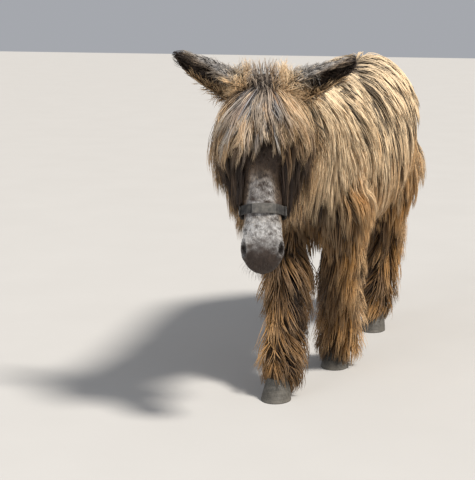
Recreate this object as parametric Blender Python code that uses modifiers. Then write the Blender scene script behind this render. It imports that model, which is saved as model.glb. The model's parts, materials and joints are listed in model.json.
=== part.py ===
"""A shaggy Poitou donkey in a slow walk, head low, wearing a plain halter: the model's closed solids.

Metres, +Z up. The donkey looks along -Y, its own left side is +X and its hooves stand on Z = 0.
The solids hold the outline of the long coat, out to the tips of the hair.
"""

import math

import bmesh
import bpy
from mathutils import Matrix, Vector
from mathutils.bvhtree import BVHTree

# ---------------------------------------------------------------- driving dimensions
WITHERS_HEIGHT = 1.36  # top of the coat over the shoulders
BODY_LENGTH = 1.46  # breast to seat, with the coat
BODY_WIDTH = 0.66  # widest part of the barrel, with the coat
BREAST_Y = -0.70
COAT_PEAR = 0.50  # how much wider the hanging coat is than the back, per metre of drop
HEAD_DROP = math.radians(68)  # how far the face points below the horizon
HEAD_TURN = math.radians(17)  # the head looks a little to its own left
POLL = Vector((-0.042, -1.02, 1.30))
EAR_LENGTH = 0.32
HOOF_LENGTH, HOOF_WIDTH, HOOF_HEIGHT = 0.140, 0.124, 0.090
EYE_RADIUS = 0.021
STRAP_WIDTH, STRAP_THICK = 0.036, 0.004
STRAP_FOLD = 0.010  # thickness where a strap is folded round a ring
RING_BAR = 0.0025

FIT_GAP = 0.0004  # free space between neighbouring solids
RING_SIDES = 12  # corners of a loft's ring before it is subdivided
FLESH_VOXEL = 0.016
FLESH_TRIANGLES, EAR_TRIANGLES, TAIL_TRIANGLES, HOOF_TRIANGLES = 3000, 300, 220, 170

LEFT, RIGHT = 1, -1
SIDE_NAMES = {LEFT: "left", RIGHT: "right"}
SIDES = (LEFT, RIGHT)

HAIR = (0.30, 0.19, 0.10)
DARK_HAIR = (0.10, 0.07, 0.055)
HORN = (0.20, 0.19, 0.16)
EYE = (0.02, 0.013, 0.01)
WEBBING = (0.16, 0.155, 0.16)
STEEL = (0.55, 0.55, 0.54)

UP = Vector((0, 0, 1))


# ---------------------------------------------------------------- scene and materials
def clear_scene():
    for obj in list(bpy.data.objects):
        bpy.data.objects.remove(obj, do_unlink=True)


def new_collection(name, hidden=False):
    collection = bpy.data.collections.new(name)
    bpy.context.scene.collection.children.link(collection)
    collection.hide_render = hidden
    return collection


def new_material(name, colour, roughness, metallic=0.0):
    material = bpy.data.materials.new(name)
    material.use_nodes = True
    surface = material.node_tree.nodes["Principled BSDF"]
    surface.inputs["Base Color"].default_value = (*colour, 1)
    surface.inputs["Roughness"].default_value = roughness
    surface.inputs["Metallic"].default_value = metallic
    return material


clear_scene()
DONKEY = new_collection("donkey")
HELPERS = new_collection("helpers", hidden=True)


def new_object(name, bm):
    """A hidden helper object that takes over the bmesh."""
    mesh = bpy.data.meshes.new(name)
    bm.to_mesh(mesh)
    bm.free()
    obj = bpy.data.objects.new(name, mesh)
    HELPERS.objects.link(obj)
    obj.hide_render = True
    obj.display_type = "WIRE"
    return obj


def copy_of(obj, name):
    copy = obj.copy()
    copy.data = obj.data.copy()
    copy.name = name
    HELPERS.objects.link(copy)
    return copy


def node(obj, name, colour, roughness=0.85, metallic=0.0):
    """Shows a finished helper as a node of the donkey."""
    HELPERS.objects.unlink(obj)
    DONKEY.objects.link(obj)
    obj.name = obj.data.name = name
    obj.hide_render = False
    obj.display_type = "TEXTURED"
    obj.data.materials.clear()
    obj.data.materials.append(new_material(name, colour, roughness, metallic))
    return obj


# ---------------------------------------------------------------- modifiers turned into meshes
def applied(obj):
    bpy.context.view_layer.update()
    evaluated = obj.evaluated_get(bpy.context.evaluated_depsgraph_get())
    old = obj.data
    obj.data = bpy.data.meshes.new_from_object(evaluated)
    obj.modifiers.clear()
    bpy.data.meshes.remove(old)
    return obj


def with_modifier(obj, kind, **settings):
    modifier = obj.modifiers.new(kind.lower(), kind)
    for key, value in settings.items():
        setattr(modifier, key, value)
    return applied(obj)


def subdivided(obj, levels):
    """Smoothed, and in triangles, so that a grown copy keeps the same facets."""
    if levels:
        with_modifier(obj, "SUBSURF", levels=levels, render_levels=levels)
    return with_modifier(obj, "TRIANGULATE")


def thinned(obj, triangles):
    with_modifier(obj, "TRIANGULATE")
    return with_modifier(obj, "DECIMATE", ratio=triangles / len(obj.data.polygons))


def biggest_piece(obj):
    """Drops all but the piece with the most corners."""
    bm = bmesh.new()
    bm.from_mesh(obj.data)
    left, pieces = set(bm.verts), []
    while left:
        piece, edge = set(), {next(iter(left))}
        while edge:
            piece |= edge
            edge = {e.other_vert(v) for v in edge for e in v.link_edges} - piece
        pieces.append(piece)
        left -= piece
    kept = max(pieces, key=len)
    bmesh.ops.delete(bm, geom=[v for v in bm.verts if v not in kept], context="VERTS")
    bm.to_mesh(obj.data)
    bm.free()
    return obj


def boolean(obj, other, operation):
    return with_modifier(obj, "BOOLEAN", operation=operation, object=other, solver="EXACT")


def grown(obj, by=FIT_GAP):
    """A copy that stands proud of the object by the fitting gap all over."""
    return with_modifier(copy_of(obj, "grown"), "DISPLACE", strength=by, mid_level=0.0)


def cut_clear(obj, *others):
    """Takes each other solid, and the gap round it, out of this one."""
    for other in others:
        cutter = grown(other)
        boolean(obj, cutter, "DIFFERENCE")
        bpy.data.objects.remove(cutter, do_unlink=True)
    return obj


def levelled(obj, height):
    """Cuts off all below a height and leaves a flat face there."""
    bm = bmesh.new()
    bm.from_mesh(obj.data)
    everything = bm.verts[:] + bm.edges[:] + bm.faces[:]
    bmesh.ops.bisect_plane(bm, geom=everything, plane_co=(0, 0, height), plane_no=UP, clear_inner=True)
    bmesh.ops.holes_fill(bm, edges=[e for e in bm.edges if e.is_boundary], sides=0)
    bmesh.ops.recalc_face_normals(bm, faces=bm.faces[:])
    bm.to_mesh(obj.data)
    bm.free()
    return obj


# ---------------------------------------------------------------- lofts
def turned_to(centre, forward, up):
    """A matrix at centre whose Z runs along forward and whose Y points up, square to it."""
    z_axis = forward.normalized()
    x_axis = up.cross(z_axis).normalized()
    y_axis = z_axis.cross(x_axis)
    return Matrix.Translation(centre) @ Matrix((x_axis, y_axis, z_axis)).transposed().to_4x4()


def ring(centre, forward, up, half_width, half_height):
    return turned_to(centre, forward, up) @ Matrix.Diagonal((half_width, half_height, 1, 1))


def loft(name, rings, sides=RING_SIDES, levels=1):
    """A closed tube through rings, each of them a matrix that places a unit circle."""
    bm = bmesh.new()
    bmesh.ops.create_circle(bm, segments=sides, radius=1, matrix=rings[0])
    edges = bm.edges[:]
    for before, after in zip(rings, rings[1:]):
        made = bmesh.ops.extrude_edge_only(bm, edges=edges)["geom"]
        edges = [e for e in made if isinstance(e, bmesh.types.BMEdge)]
        verts = [v for v in made if isinstance(v, bmesh.types.BMVert)]
        bmesh.ops.transform(bm, matrix=after @ before.inverted(), verts=verts)
    bmesh.ops.holes_fill(bm, edges=[e for e in bm.edges if e.is_boundary], sides=sides)
    bmesh.ops.recalc_face_normals(bm, faces=bm.faces[:])
    return subdivided(new_object(name, bm), levels)


def path_rings(stations, up):
    """Rings square to a path. Each station is its point and the ring's half width and half height."""
    points = [Vector(station[0]) for station in stations]
    rings = []
    for i, (point, (_, half_width, half_height)) in enumerate(zip(points, stations)):
        forward = points[min(i + 1, len(points) - 1)] - points[max(i - 1, 0)]
        rings.append(ring(point, forward, up, half_width, half_height))
    return rings


def bar(name, points, half_width, half_height, ups, levels=0):
    """A bar with a rectangular section along a path, with its own up direction at each point."""
    rings = []
    for i, (point, up) in enumerate(zip(points, ups)):
        forward = points[min(i + 1, len(points) - 1)] - points[max(i - 1, 0)]
        corner = math.sqrt(2)
        flat = ring(point, forward, up, half_width * corner, half_height[i] * corner)
        rings.append(flat @ Matrix.Rotation(math.pi / 4, 4, "Z"))
    return loft(name, rings, sides=4, levels=levels)


# ---------------------------------------------------------------- trunk and neck
TRUNK_SECTIONS = (  # along the body, top and bottom by the withers' height, width by the body's
    (0.00, 0.78, 0.60, 0.28),
    (0.05, 0.86, 0.47, 0.56),
    (0.13, 0.94, 0.405, 0.78),
    (0.23, 0.985, 0.385, 0.87),
    (0.39, 0.975, 0.385, 0.95),
    (0.55, 0.975, 0.385, 1.00),
    (0.71, 1.005, 0.385, 1.01),
    (0.84, 0.99, 0.41, 0.92),
    (0.94, 0.91, 0.48, 0.70),
    (1.00, 0.80, 0.60, 0.34),
)


def hung(form, level):
    """Widens what hangs below a level and narrows what lies above it."""
    for vertex in form.data.vertices:
        vertex.co.x *= 1 - COAT_PEAR * (vertex.co.z - level)
    return form


def build_trunk():
    rings = []
    for along, top, bottom, width in TRUNK_SECTIONS:
        middle = Vector((0, BREAST_Y + along * BODY_LENGTH, (top + bottom) / 2 * WITHERS_HEIGHT))
        half_height = (top - bottom) / 2 * WITHERS_HEIGHT
        rings.append(ring(middle, Vector((0, 1, 0)), UP, width / 2 * BODY_WIDTH, half_height))
    return hung(loft("trunk_form", rings, levels=2), 0.70 * WITHERS_HEIGHT)


NECK_STATIONS = (
    ((0, -0.26, 0.96), 0.24, 0.34),
    ((0, -0.48, 1.02), 0.27, 0.345),
    ((-0.025, -0.70, 1.06), 0.285, 0.345),
    ((-0.045, -0.86, 1.09), 0.270, 0.315),
    ((-0.05, -0.98, 1.16), 0.18, 0.245),
)


def build_neck():
    neck = loft("neck_form", path_rings(NECK_STATIONS, UP))
    return hung(neck, NECK_STATIONS[2][0][2])


# ---------------------------------------------------------------- head
# The head's own frame: X to its left, Y out of the face, Z from the poll down the face.
HEAD = (
    Matrix.Translation(POLL)
    @ Matrix.Rotation(HEAD_TURN, 4, "Z")
    @ Matrix.Rotation(math.pi / 2 + HEAD_DROP, 4, "X")
)
HEAD_SECTIONS = (  # down the face from the poll, face line, jaw line, half width
    (-0.115, 0.000, -0.130, 0.090),
    (-0.05, 0.055, -0.170, 0.150),
    (0.02, 0.085, -0.205, 0.172),
    (0.11, 0.090, -0.250, 0.188),
    (0.19, 0.075, -0.290, 0.194),
    (0.285, 0.036, -0.285, 0.168),
    (0.37, 0.004, -0.225, 0.120),
    (0.45, -0.006, -0.180, 0.092),
    (0.53, -0.008, -0.160, 0.076),
    (0.60, -0.006, -0.152, 0.084),
    (0.655, -0.020, -0.146, 0.078),
    (0.70, -0.050, -0.128, 0.054),
)
LIPS = HEAD_SECTIONS[-1][0]


def in_head(x, y, z):
    return HEAD @ Vector((x, y, z))


def head_direction(x, y, z):
    return (HEAD.to_3x3() @ Vector((x, y, z))).normalized()


def build_head():
    rings = []
    for down, face, jaw, half_width in HEAD_SECTIONS:
        middle = Matrix.Translation((0, (face + jaw) / 2, down))
        rings.append(HEAD @ middle @ Matrix.Diagonal((half_width, (face - jaw) / 2, 1, 1)))
    return loft("head_form", rings)


# ---------------------------------------------------------------- legs and tail
FEET = {  # where the middle of each sole stands
    ("fore", LEFT): (0.055, -0.27),
    ("fore", RIGHT): (-0.055, -0.80),
    ("hind", LEFT): (0.075, 0.40),
    ("hind", RIGHT): (-0.095, 0.80),
}
LEG_LINES = {  # fore-and-aft place and height, from inside the trunk down to the fetlock
    ("fore", LEFT): ((-0.44, 0.80), (-0.41, 0.62), (-0.355, 0.43), (-0.285, 0.27), (-0.225, 0.145)),
    ("fore", RIGHT): ((-0.43, 0.80), (-0.47, 0.62), (-0.56, 0.43), (-0.64, 0.27), (-0.722, 0.145)),
    ("hind", LEFT): ((0.45, 0.86), (0.47, 0.66), (0.555, 0.49), (0.51, 0.29), (0.445, 0.145)),
    ("hind", RIGHT): ((0.45, 0.86), (0.59, 0.66), (0.78, 0.50), (0.815, 0.29), (0.845, 0.145)),
}
LEG_SPREAD = {"fore": 0.130, "hind": 0.130}  # half the distance between a pair's upper ends
LEG_HALF_WIDTHS = {"fore": (0.13, 0.105, 0.104, 0.100, 0.092), "hind": (0.17, 0.125, 0.090, 0.074, 0.080)}
LEG_HALF_DEPTHS = {"fore": (0.19, 0.140, 0.114, 0.112, 0.108), "hind": (0.28, 0.185, 0.118, 0.092, 0.100)}
SKIRT_HALF_WIDTH, SKIRT_HALF_DEPTH, SKIRT_BOTTOM = 0.084, 0.094, 0.050
FEATHER_SHIFT = {("fore", RIGHT): 0.060}  # how far a leg's long hair hangs to one side of its foot


def build_leg(pair, side):
    foot_x, foot_y = FEET[pair, side]
    top_height = LEG_LINES[pair, side][0][1]
    stations = []
    for (y, z), half_width, half_depth in zip(
        LEG_LINES[pair, side], LEG_HALF_WIDTHS[pair], LEG_HALF_DEPTHS[pair]
    ):
        x = foot_x + (side * LEG_SPREAD[pair] - foot_x) * z / top_height
        x += FEATHER_SHIFT.get((pair, side), 0) * (1 - z / top_height)
        stations.append(((x, y, z), half_width, half_depth))
    hem = (foot_x + FEATHER_SHIFT.get((pair, side), 0) / 2, foot_y + 0.025, SKIRT_BOTTOM)
    stations.append((hem, SKIRT_HALF_WIDTH, SKIRT_HALF_DEPTH))
    return loft(f"{pair}_leg_form_{SIDE_NAMES[side]}", path_rings(stations, Vector((0, -1, 0))))


TAIL_STATIONS = (
    ((0, 0.62, 1.20), 0.035, 0.035),
    ((0, 0.735, 1.17), 0.045, 0.045),
    ((0.004, 0.805, 1.05), 0.048, 0.048),
    ((0.012, 0.830, 0.88), 0.052, 0.052),
    ((0.032, 0.840, 0.70), 0.062, 0.062),
    ((0.052, 0.840, 0.54), 0.060, 0.060),
    ((0.064, 0.830, 0.42), 0.026, 0.026),
)


def build_tail():
    return thinned(loft("tail_form", path_rings(TAIL_STATIONS, Vector((0, -1, 0)))), TAIL_TRIANGLES)


def build_flesh():
    """Trunk, neck, head and legs flowing into one another."""
    flesh = build_trunk()
    forms = [build_neck(), build_head()]
    forms += [build_leg(pair, side) for pair, side in FEET]
    for form in forms:
        boolean(flesh, form, "UNION")
        bpy.data.objects.remove(form, do_unlink=True)
    with_modifier(flesh, "REMESH", mode="VOXEL", voxel_size=FLESH_VOXEL)
    with_modifier(flesh, "SMOOTH", factor=0.5, iterations=5)
    return thinned(flesh, FLESH_TRIANGLES)


# ---------------------------------------------------------------- hooves
HOOF_LEVELS = (  # height share, length share, width share, how far back the level lies
    (-0.20, 1.03, 1.03, -0.006),
    (0.00, 1.00, 1.00, 0.0),
    (0.35, 0.93, 0.93, 0.010),
    (0.75, 0.80, 0.80, 0.022),
    (1.00, 0.70, 0.72, 0.028),
)


def build_hoof(pair, side):
    x, y = FEET[pair, side]
    rings = []
    for height, length, width, back in HOOF_LEVELS:
        middle = Vector((x, y + back, height * HOOF_HEIGHT))
        half_width, half_length = width * HOOF_WIDTH / 2, length * HOOF_LENGTH / 2
        rings.append(ring(middle, UP, Vector((0, -1, 0)), half_width, half_length))
    return levelled(thinned(loft("hoof_form", rings), HOOF_TRIANGLES), 0.0)


# ---------------------------------------------------------------- ears and eyes
EAR_ROOTS = {LEFT: (0.078, -0.045, 0.03), RIGHT: (-0.078, -0.045, 0.03)}  # in the head's frame
EAR_AIMS = {LEFT: (0.76, 0.50, 0.39), RIGHT: (-0.87, -0.02, 0.485)}
EAR_FACES = {LEFT: (0.62, -0.66, -0.42), RIGHT: (-0.16, -0.86, -0.48)}  # where the opening looks
EAR_SECTIONS = (  # share of the ear's length, half width, half depth, how far it lies to the back
    (-0.12, 0.050, 0.050, 0.000),
    (0.06, 0.066, 0.062, 0.010),
    (0.25, 0.078, 0.062, 0.010),
    (0.48, 0.072, 0.054, 0.004),
    (0.70, 0.058, 0.040, 0.000),
    (0.88, 0.040, 0.027, 0.000),
    (1.00, 0.020, 0.014, 0.000),
)
HOLLOW_FROM = 0.3
EAR_WALL = 0.010


def build_ear(side):
    """A leaf-shaped tube with its hollow open to the front."""
    root, aim = in_head(*EAR_ROOTS[side]), Vector(EAR_AIMS[side]).normalized()
    facing = Vector(EAR_FACES[side]).normalized()
    outer, hollow = [], []
    for share, half_width, half_depth, back in EAR_SECTIONS:
        middle = root + aim * share * EAR_LENGTH - facing * back
        outer.append(ring(middle, aim, facing, half_width, half_depth))
        if share > HOLLOW_FROM - 0.1:
            open_middle = middle + facing * (half_depth * 0.75)
            hollow.append(
                ring(open_middle, aim, facing, max(half_width - EAR_WALL, 0.004), half_depth)
            )
    ear = loft("ear_form", outer)
    conch = loft("conch_form", hollow)
    boolean(ear, conch, "DIFFERENCE")
    bpy.data.objects.remove(conch, do_unlink=True)
    return thinned(ear, EAR_TRIANGLES)


EYE_PLACES = {LEFT: (0.092, 0.012, 0.215), RIGHT: (-0.092, 0.012, 0.215)}
EYE_AIM = (0.86, 0.50, 0.08)
PIT_LENGTH, PIT_HALF_WIDTH = 0.16, 0.075


def build_eye(side):
    bm = bmesh.new()
    bmesh.ops.create_uvsphere(
        bm, u_segments=12, v_segments=7, radius=EYE_RADIUS,
        matrix=Matrix.Translation(in_head(*EYE_PLACES[side])),
    )
    return new_object("eye_form", bm)


def build_eye_pit(side):
    """The funnel through the coat that the eye looks out of."""
    centre = in_head(*EYE_PLACES[side])
    aim = head_direction(side * EYE_AIM[0], EYE_AIM[1], EYE_AIM[2])
    bm = bmesh.new()
    bmesh.ops.create_cone(
        bm, cap_ends=True, segments=10, radius1=EYE_RADIUS * 0.72, radius2=PIT_HALF_WIDTH,
        depth=PIT_LENGTH, matrix=turned_to(centre + aim * PIT_LENGTH / 2, aim, UP),
    )
    return new_object("eye_pit", bm)


NOSTRIL = (0.040, -0.006, 0.610)
NOSTRIL_AIM = (0.55, 0.75, 0.35)


def build_nostril(side):
    centre = in_head(side * NOSTRIL[0], NOSTRIL[1], NOSTRIL[2])
    aim = head_direction(side * NOSTRIL_AIM[0], NOSTRIL_AIM[1], NOSTRIL_AIM[2])
    bm = bmesh.new()
    size = Matrix.Diagonal((0.009, 0.016, 0.020, 1))
    bmesh.ops.create_uvsphere(
        bm, u_segments=8, v_segments=5, radius=1,
        matrix=turned_to(centre, aim, head_direction(side * 0.35, 0, 1)) @ size,
    )
    return new_object("nostril_form", bm)


MOUTH_HEIGHT, MOUTH_DEPTH = -0.098, 0.055  # lip line in the head's frame, and how far it runs back


def build_mouth():
    """The slit between the lips."""
    bm = bmesh.new()
    slit = Matrix.Translation((0, MOUTH_HEIGHT, LIPS)) @ Matrix.Rotation(math.radians(-14), 4, "X")
    bmesh.ops.create_cube(bm, size=1, matrix=HEAD @ slit @ Matrix.Diagonal((0.22, 0.004, 2 * MOUTH_DEPTH, 1)))
    return new_object("mouth_form", bm)


# ---------------------------------------------------------------- halter
NOSE_BAND_AT = 0.470  # down the face from the poll
BAND_MIDDLE = -0.090  # the middle of the muzzle there, in the head's frame
BAND_STEPS = 10
STRAP_SINK = 0.0015  # how deep a strap presses into the coat
RING_AT = 0.456
RING_ANGLE, RING_SPAN = -8, 15  # degrees round the muzzle: a side ring's middle, and out to its bars
RING_ANGLE_FRONT, RING_ANGLE_BACK = 2, 18  # where the bands' folded ends stop, at the front and back bars
RING_HALF_LENGTH = 0.027
CHIN_RING_RADIUS = 0.021
TAB_LENGTH, TAB_WIDTH = 0.016, 0.014
# The headstall from the left ring to the top of the neck: where it is looked for from, which way,
# and how deep it lies in the coat.
HEADSTALL = (
    (Vector((0, BAND_MIDDLE, 0.437)), Vector((0.990, -0.139, 0)), 0.0),
    (Vector((0, BAND_MIDDLE, 0.418)), Vector((0.988, -0.155, 0)), 0.0),
    (Vector((0, BAND_MIDDLE, 0.395)), Vector((0.980, -0.200, 0)), 0.002),
    (Vector((0, BAND_MIDDLE, 0.350)), Vector((0.965, -0.260, 0)), 0.012),
    (Vector((0, BAND_MIDDLE, 0.280)), Vector((0.955, -0.300, 0)), 0.026),
    (Vector((0, BAND_MIDDLE, 0.200)), Vector((0.955, -0.300, 0)), 0.034),
    (Vector((0, -0.120, 0.120)), Vector((0.990, -0.140, 0)), 0.036),
    (Vector((0, -0.125, 0.070)), Vector((0.960, -0.100, -0.25)), 0.036),
    (Vector((0, -0.125, 0.050)), Vector((0.720, -0.080, -0.69)), 0.032),
    (Vector((0, -0.125, 0.050)), Vector((0.360, -0.080, -0.93)), 0.026),
    (Vector((0, -0.125, 0.050)), Vector((0.000, -0.080, -1.00)), 0.024),
)
SLOT_HEIGHT, SLOT_WIDTH = 0.20, 0.040  # the parting in the coat over the headstall


def flesh_surface(flesh):
    return BVHTree.FromPolygons(
        [v.co for v in flesh.data.vertices], [p.vertices for p in flesh.data.polygons]
    )


def around(angle, down, depth=0.0):
    """A strap place level with a point down the face, at an angle from the left cheek to the face."""
    turn = math.radians(angle)
    return Vector((0, BAND_MIDDLE, down)), Vector((math.cos(turn), math.sin(turn), 0)), depth


def lie_on(surface, place, rise):
    """The point at a height over the coat at a strap place, and the way out of the coat there."""
    origin, aim, depth = place
    outward = head_direction(*aim)
    hit = surface.ray_cast(HEAD @ origin, outward)[0]
    return hit + outward * (rise - depth), outward


def build_strap(name, surface, places, folded=True, height=STRAP_THICK, width=STRAP_WIDTH):
    """A strap over its places, twice as thick at both ends where it is folded round a ring."""
    heights = [height] * len(places)
    if folded:
        heights[:2] = heights[-2:] = [STRAP_FOLD] * 2
    points, ups = zip(*(lie_on(surface, p, h / 2 - STRAP_SINK) for p, h in zip(places, heights)))
    return bar(name, points, width / 2, [h / 2 for h in heights], ups)


def build_side_ring(side, surface):
    """It lies flat on the cheek, its bars inside the folds of the straps."""
    angle = RING_ANGLE if side == LEFT else 180 - RING_ANGLE
    rise = STRAP_FOLD / 2 - STRAP_SINK
    front = lie_on(surface, around(angle - side * -RING_SPAN, RING_AT), rise)[0]
    back = lie_on(surface, around(angle + side * -RING_SPAN, RING_AT), rise)[0]
    across = front - back
    down = head_direction(0, 0, 1)
    outward = across.cross(down) * -side
    half_width = across.length / 2
    return build_ring("side_ring_form", (front + back) / 2, down, outward, RING_HALF_LENGTH, half_width)


def build_chin_strap(surface):
    """The band under the jaw, with a short tab for the chin ring."""
    angles = [-RING_ANGLE_BACK - i * (180 - 2 * RING_ANGLE_BACK) / BAND_STEPS for i in range(BAND_STEPS + 1)]
    band = build_strap("chin_strap_form", surface, [around(a, NOSE_BAND_AT) for a in angles])
    under, outward = lie_on(surface, around(-90, NOSE_BAND_AT), 0)
    tab = bar(
        "tab_form", [under, under + outward * TAB_LENGTH], TAB_WIDTH / 2, [TAB_WIDTH / 2] * 2,
        [head_direction(0, 0, 1)] * 2,
    )
    boolean(band, tab, "UNION")
    bpy.data.objects.remove(tab, do_unlink=True)
    return band


def build_ring(name, centre, forward, up, half_length, half_width, bar_radius=RING_BAR, sides=14):
    """A closed ring of round bar, lying square to up."""
    place = turned_to(centre, up, forward)
    bm = bmesh.new()
    rings = []
    for i in range(sides):
        turn = 2 * math.pi * i / sides
        corner = abs(math.cos(turn)) ** 0.65, abs(math.sin(turn)) ** 0.65
        flat = Vector((
            math.copysign(corner[0], math.cos(turn)) * half_width,
            math.copysign(corner[1], math.sin(turn)) * half_length,
            0,
        ))
        rings.append(place @ flat)
    normal = place.to_3x3() @ Vector((0, 0, 1))
    circles = []
    for i, point in enumerate(rings):
        along = rings[(i + 1) % sides] - rings[i - 1]
        made = bmesh.ops.create_circle(
            bm, segments=6, radius=bar_radius, matrix=turned_to(point, along, normal)
        )["verts"]
        circles.append({e for v in made for e in v.link_edges})
    for first, second in zip(circles, circles[1:] + circles[:1]):
        bmesh.ops.bridge_loops(bm, edges=list(first | second))
    bmesh.ops.recalc_face_normals(bm, faces=bm.faces[:])
    bmesh.ops.triangulate(bm, faces=bm.faces[:])
    return new_object(name, bm)


# ---------------------------------------------------------------- parting the flesh into nodes
def box(middle, size, lean=0.0):
    """A box leaning about the X axis by an angle in degrees."""
    bm = bmesh.new()
    place = Matrix.Translation(middle) @ Matrix.Rotation(math.radians(lean), 4, "X")
    bmesh.ops.create_cube(bm, size=1, matrix=place @ Matrix.Diagonal((*size, 1)))
    return new_object("box", bm)


def taken_from(flesh, name, cutter):
    """Parts off what lies inside the cutter. The flesh keeps the rest, less the gap."""
    piece = boolean(copy_of(flesh, name), cutter, "INTERSECT")
    cut_clear(flesh, cutter)
    bpy.data.objects.remove(cutter, do_unlink=True)
    return piece


HEAD_BACK, HEAD_LEAN = Vector((0, -0.865, 1.15)), 14  # the plane behind the jaw
NECK_BACK, NECK_LEAN = Vector((0, -0.51, 1.08)), -28  # the plane from the withers to the breast
LEG_TOP = {"fore": 0.52, "hind": 0.51}
LEG_JOINT = {"fore": 0.36, "hind": 0.37}
LEG_BOX = (0.5, 0.9)  # away from the parting plane, and along it
LEG_PARTING = {"fore": (-0.46, 53), "hind": (0.60, -37)}  # where, and the way to the left leg


def ahead_of(plane_point, lean, size):
    """A box whose back face leans through the point."""
    back = Matrix.Rotation(math.radians(lean), 3, "X") @ Vector((0, size[1] / 2, 0))
    return box(plane_point - back, size, lean)


def leg_box(pair, side, low, high):
    """A box on one side of the slanting plane that parts a pair of legs."""
    (parting, turn), (reach, across) = LEG_PARTING[pair], LEG_BOX
    facing = Matrix.Rotation(math.radians(turn), 4, "Z")
    bm = bmesh.new()
    place = Matrix.Translation((0, parting, (low + high) / 2)) @ facing
    place = place @ Matrix.Translation((side * reach / 2, 0, 0))
    bmesh.ops.create_cube(bm, size=1, matrix=place @ Matrix.Diagonal((reach, across, high - low, 1)))
    return new_object("leg_box", bm)


def remove_helpers():
    for obj in list(HELPERS.objects):
        bpy.data.objects.remove(obj, do_unlink=True)


def build_donkey():
    flesh = build_flesh()
    surface = flesh_surface(flesh)
    bare_head = build_head()
    head_surface = flesh_surface(bare_head)
    half_stall = [(origin, Vector((-aim.x, aim.y, aim.z)), depth) for origin, aim, depth in HEADSTALL[-2::-1]]
    whole_stall = list(HEADSTALL) + half_stall
    headstall = build_strap("headstall_form", head_surface, whole_stall)
    slot = build_strap(
        "slot_form", head_surface, whole_stall, folded=False, height=SLOT_HEIGHT, width=SLOT_WIDTH
    )
    front_angles = [
        RING_ANGLE_FRONT + i * (180 - 2 * RING_ANGLE_FRONT) / BAND_STEPS for i in range(BAND_STEPS + 1)
    ]
    nose_band = build_strap("nose_band_form", surface, [around(a, NOSE_BAND_AT) for a in front_angles])
    chin_strap = build_chin_strap(surface)
    rings = {side: build_side_ring(side, surface) for side in SIDES}
    under, outward = lie_on(surface, around(-90, NOSE_BAND_AT), TAB_LENGTH * 0.55)
    chin_ring = build_ring(
        "chin_ring_form", under - UP * CHIN_RING_RADIUS, UP, Vector((1, 0, 0)),
        CHIN_RING_RADIUS, CHIN_RING_RADIUS,
    )

    ears = {side: biggest_piece(cut_clear(build_ear(side), flesh)) for side in SIDES}
    eyes = {side: build_eye(side) for side in SIDES}
    hooves = {place: build_hoof(*place) for place in FEET}
    tail = cut_clear(build_tail(), flesh)
    legs = {}
    for pair, side in FEET:
        split, top = LEG_JOINT[pair], LEG_TOP[pair]
        lower = taken_from(flesh, "lower", leg_box(pair, side, -0.1, split))
        upper = taken_from(flesh, "upper", leg_box(pair, side, split - 0.1, top))
        legs[pair, side] = upper, cut_clear(lower, hooves[pair, side])
    head = taken_from(flesh, "head", ahead_of(HEAD_BACK, HEAD_LEAN, Vector((1.2, 0.8, 1.0))))
    neck = taken_from(flesh, "neck", ahead_of(NECK_BACK, NECK_LEAN, Vector((1.2, 1.2, 1.3))))
    for side in SIDES:
        for cutter in (build_eye_pit(side), build_nostril(side)):
            boolean(head, cutter, "DIFFERENCE")
        cut_clear(head, eyes[side], rings[side])
    boolean(head, build_mouth(), "DIFFERENCE")
    cut_clear(head, nose_band, chin_strap, chin_ring, slot, headstall)
    cut_clear(neck, slot, headstall)
    cut_clear(chin_strap, chin_ring, *rings.values())
    cut_clear(nose_band, *rings.values())
    cut_clear(headstall, *rings.values())

    node(flesh, "trunk", HAIR)
    node(neck, "neck", HAIR)
    node(head, "head", HAIR)
    node(tail, "tail", HAIR)
    for side, word in SIDE_NAMES.items():
        node(ears[side], f"ear_{word}", DARK_HAIR)
        node(eyes[side], f"eye_{word}", EYE, 0.08)
        node(rings[side], f"halter_ring_{word}", STEEL, 0.35, 1.0)
    for (pair, side), (upper, lower) in legs.items():
        word = SIDE_NAMES[side]
        node(upper, f"{pair}leg_upper_{word}", DARK_HAIR)
        node(lower, f"{pair}leg_lower_{word}", DARK_HAIR)
        node(hooves[pair, side], f"hoof_{pair}_{word}", HORN, 0.6)
    node(nose_band, "halter_noseband", WEBBING, 0.8)
    node(chin_strap, "halter_chin_strap", WEBBING, 0.8)
    node(headstall, "halter_headstall", WEBBING, 0.8)
    node(chin_ring, "halter_chin_ring", STEEL, 0.35, 1.0)


def centre_on_floor():
    """Puts the middle of the whole outline over the origin, with the soles on Z = 0."""
    corners = [v.co for obj in DONKEY.objects for v in obj.data.vertices]
    middle = [(min(c[i] for c in corners) + max(c[i] for c in corners)) / 2 for i in range(2)]
    for obj in DONKEY.objects:
        obj.data.transform(Matrix.Translation((-middle[0], -middle[1], 0)))


build_donkey()
remove_helpers()
centre_on_floor()
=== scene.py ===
# %% [markdown]
# # A long-haired donkey
# This lesson dresses a measured model of a walking donkey. The measured solids give the outline of
# its coat, its hooves and its halter. Here they get what makes an animal look alive: one skin, a
# coat of many thousand hair locks that hang the way the real coat hangs, wet eyes, ringed hooves
# and woven webbing. Everything is in metres, +Z is up, and the donkey looks along -Y.

# %% Load the measured model
import json
import math

import bmesh
import bpy
import numpy as np
from mathutils import Euler, Matrix, Vector
from mathutils.bvhtree import BVHTree
from mathutils.kdtree import KDTree

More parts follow.
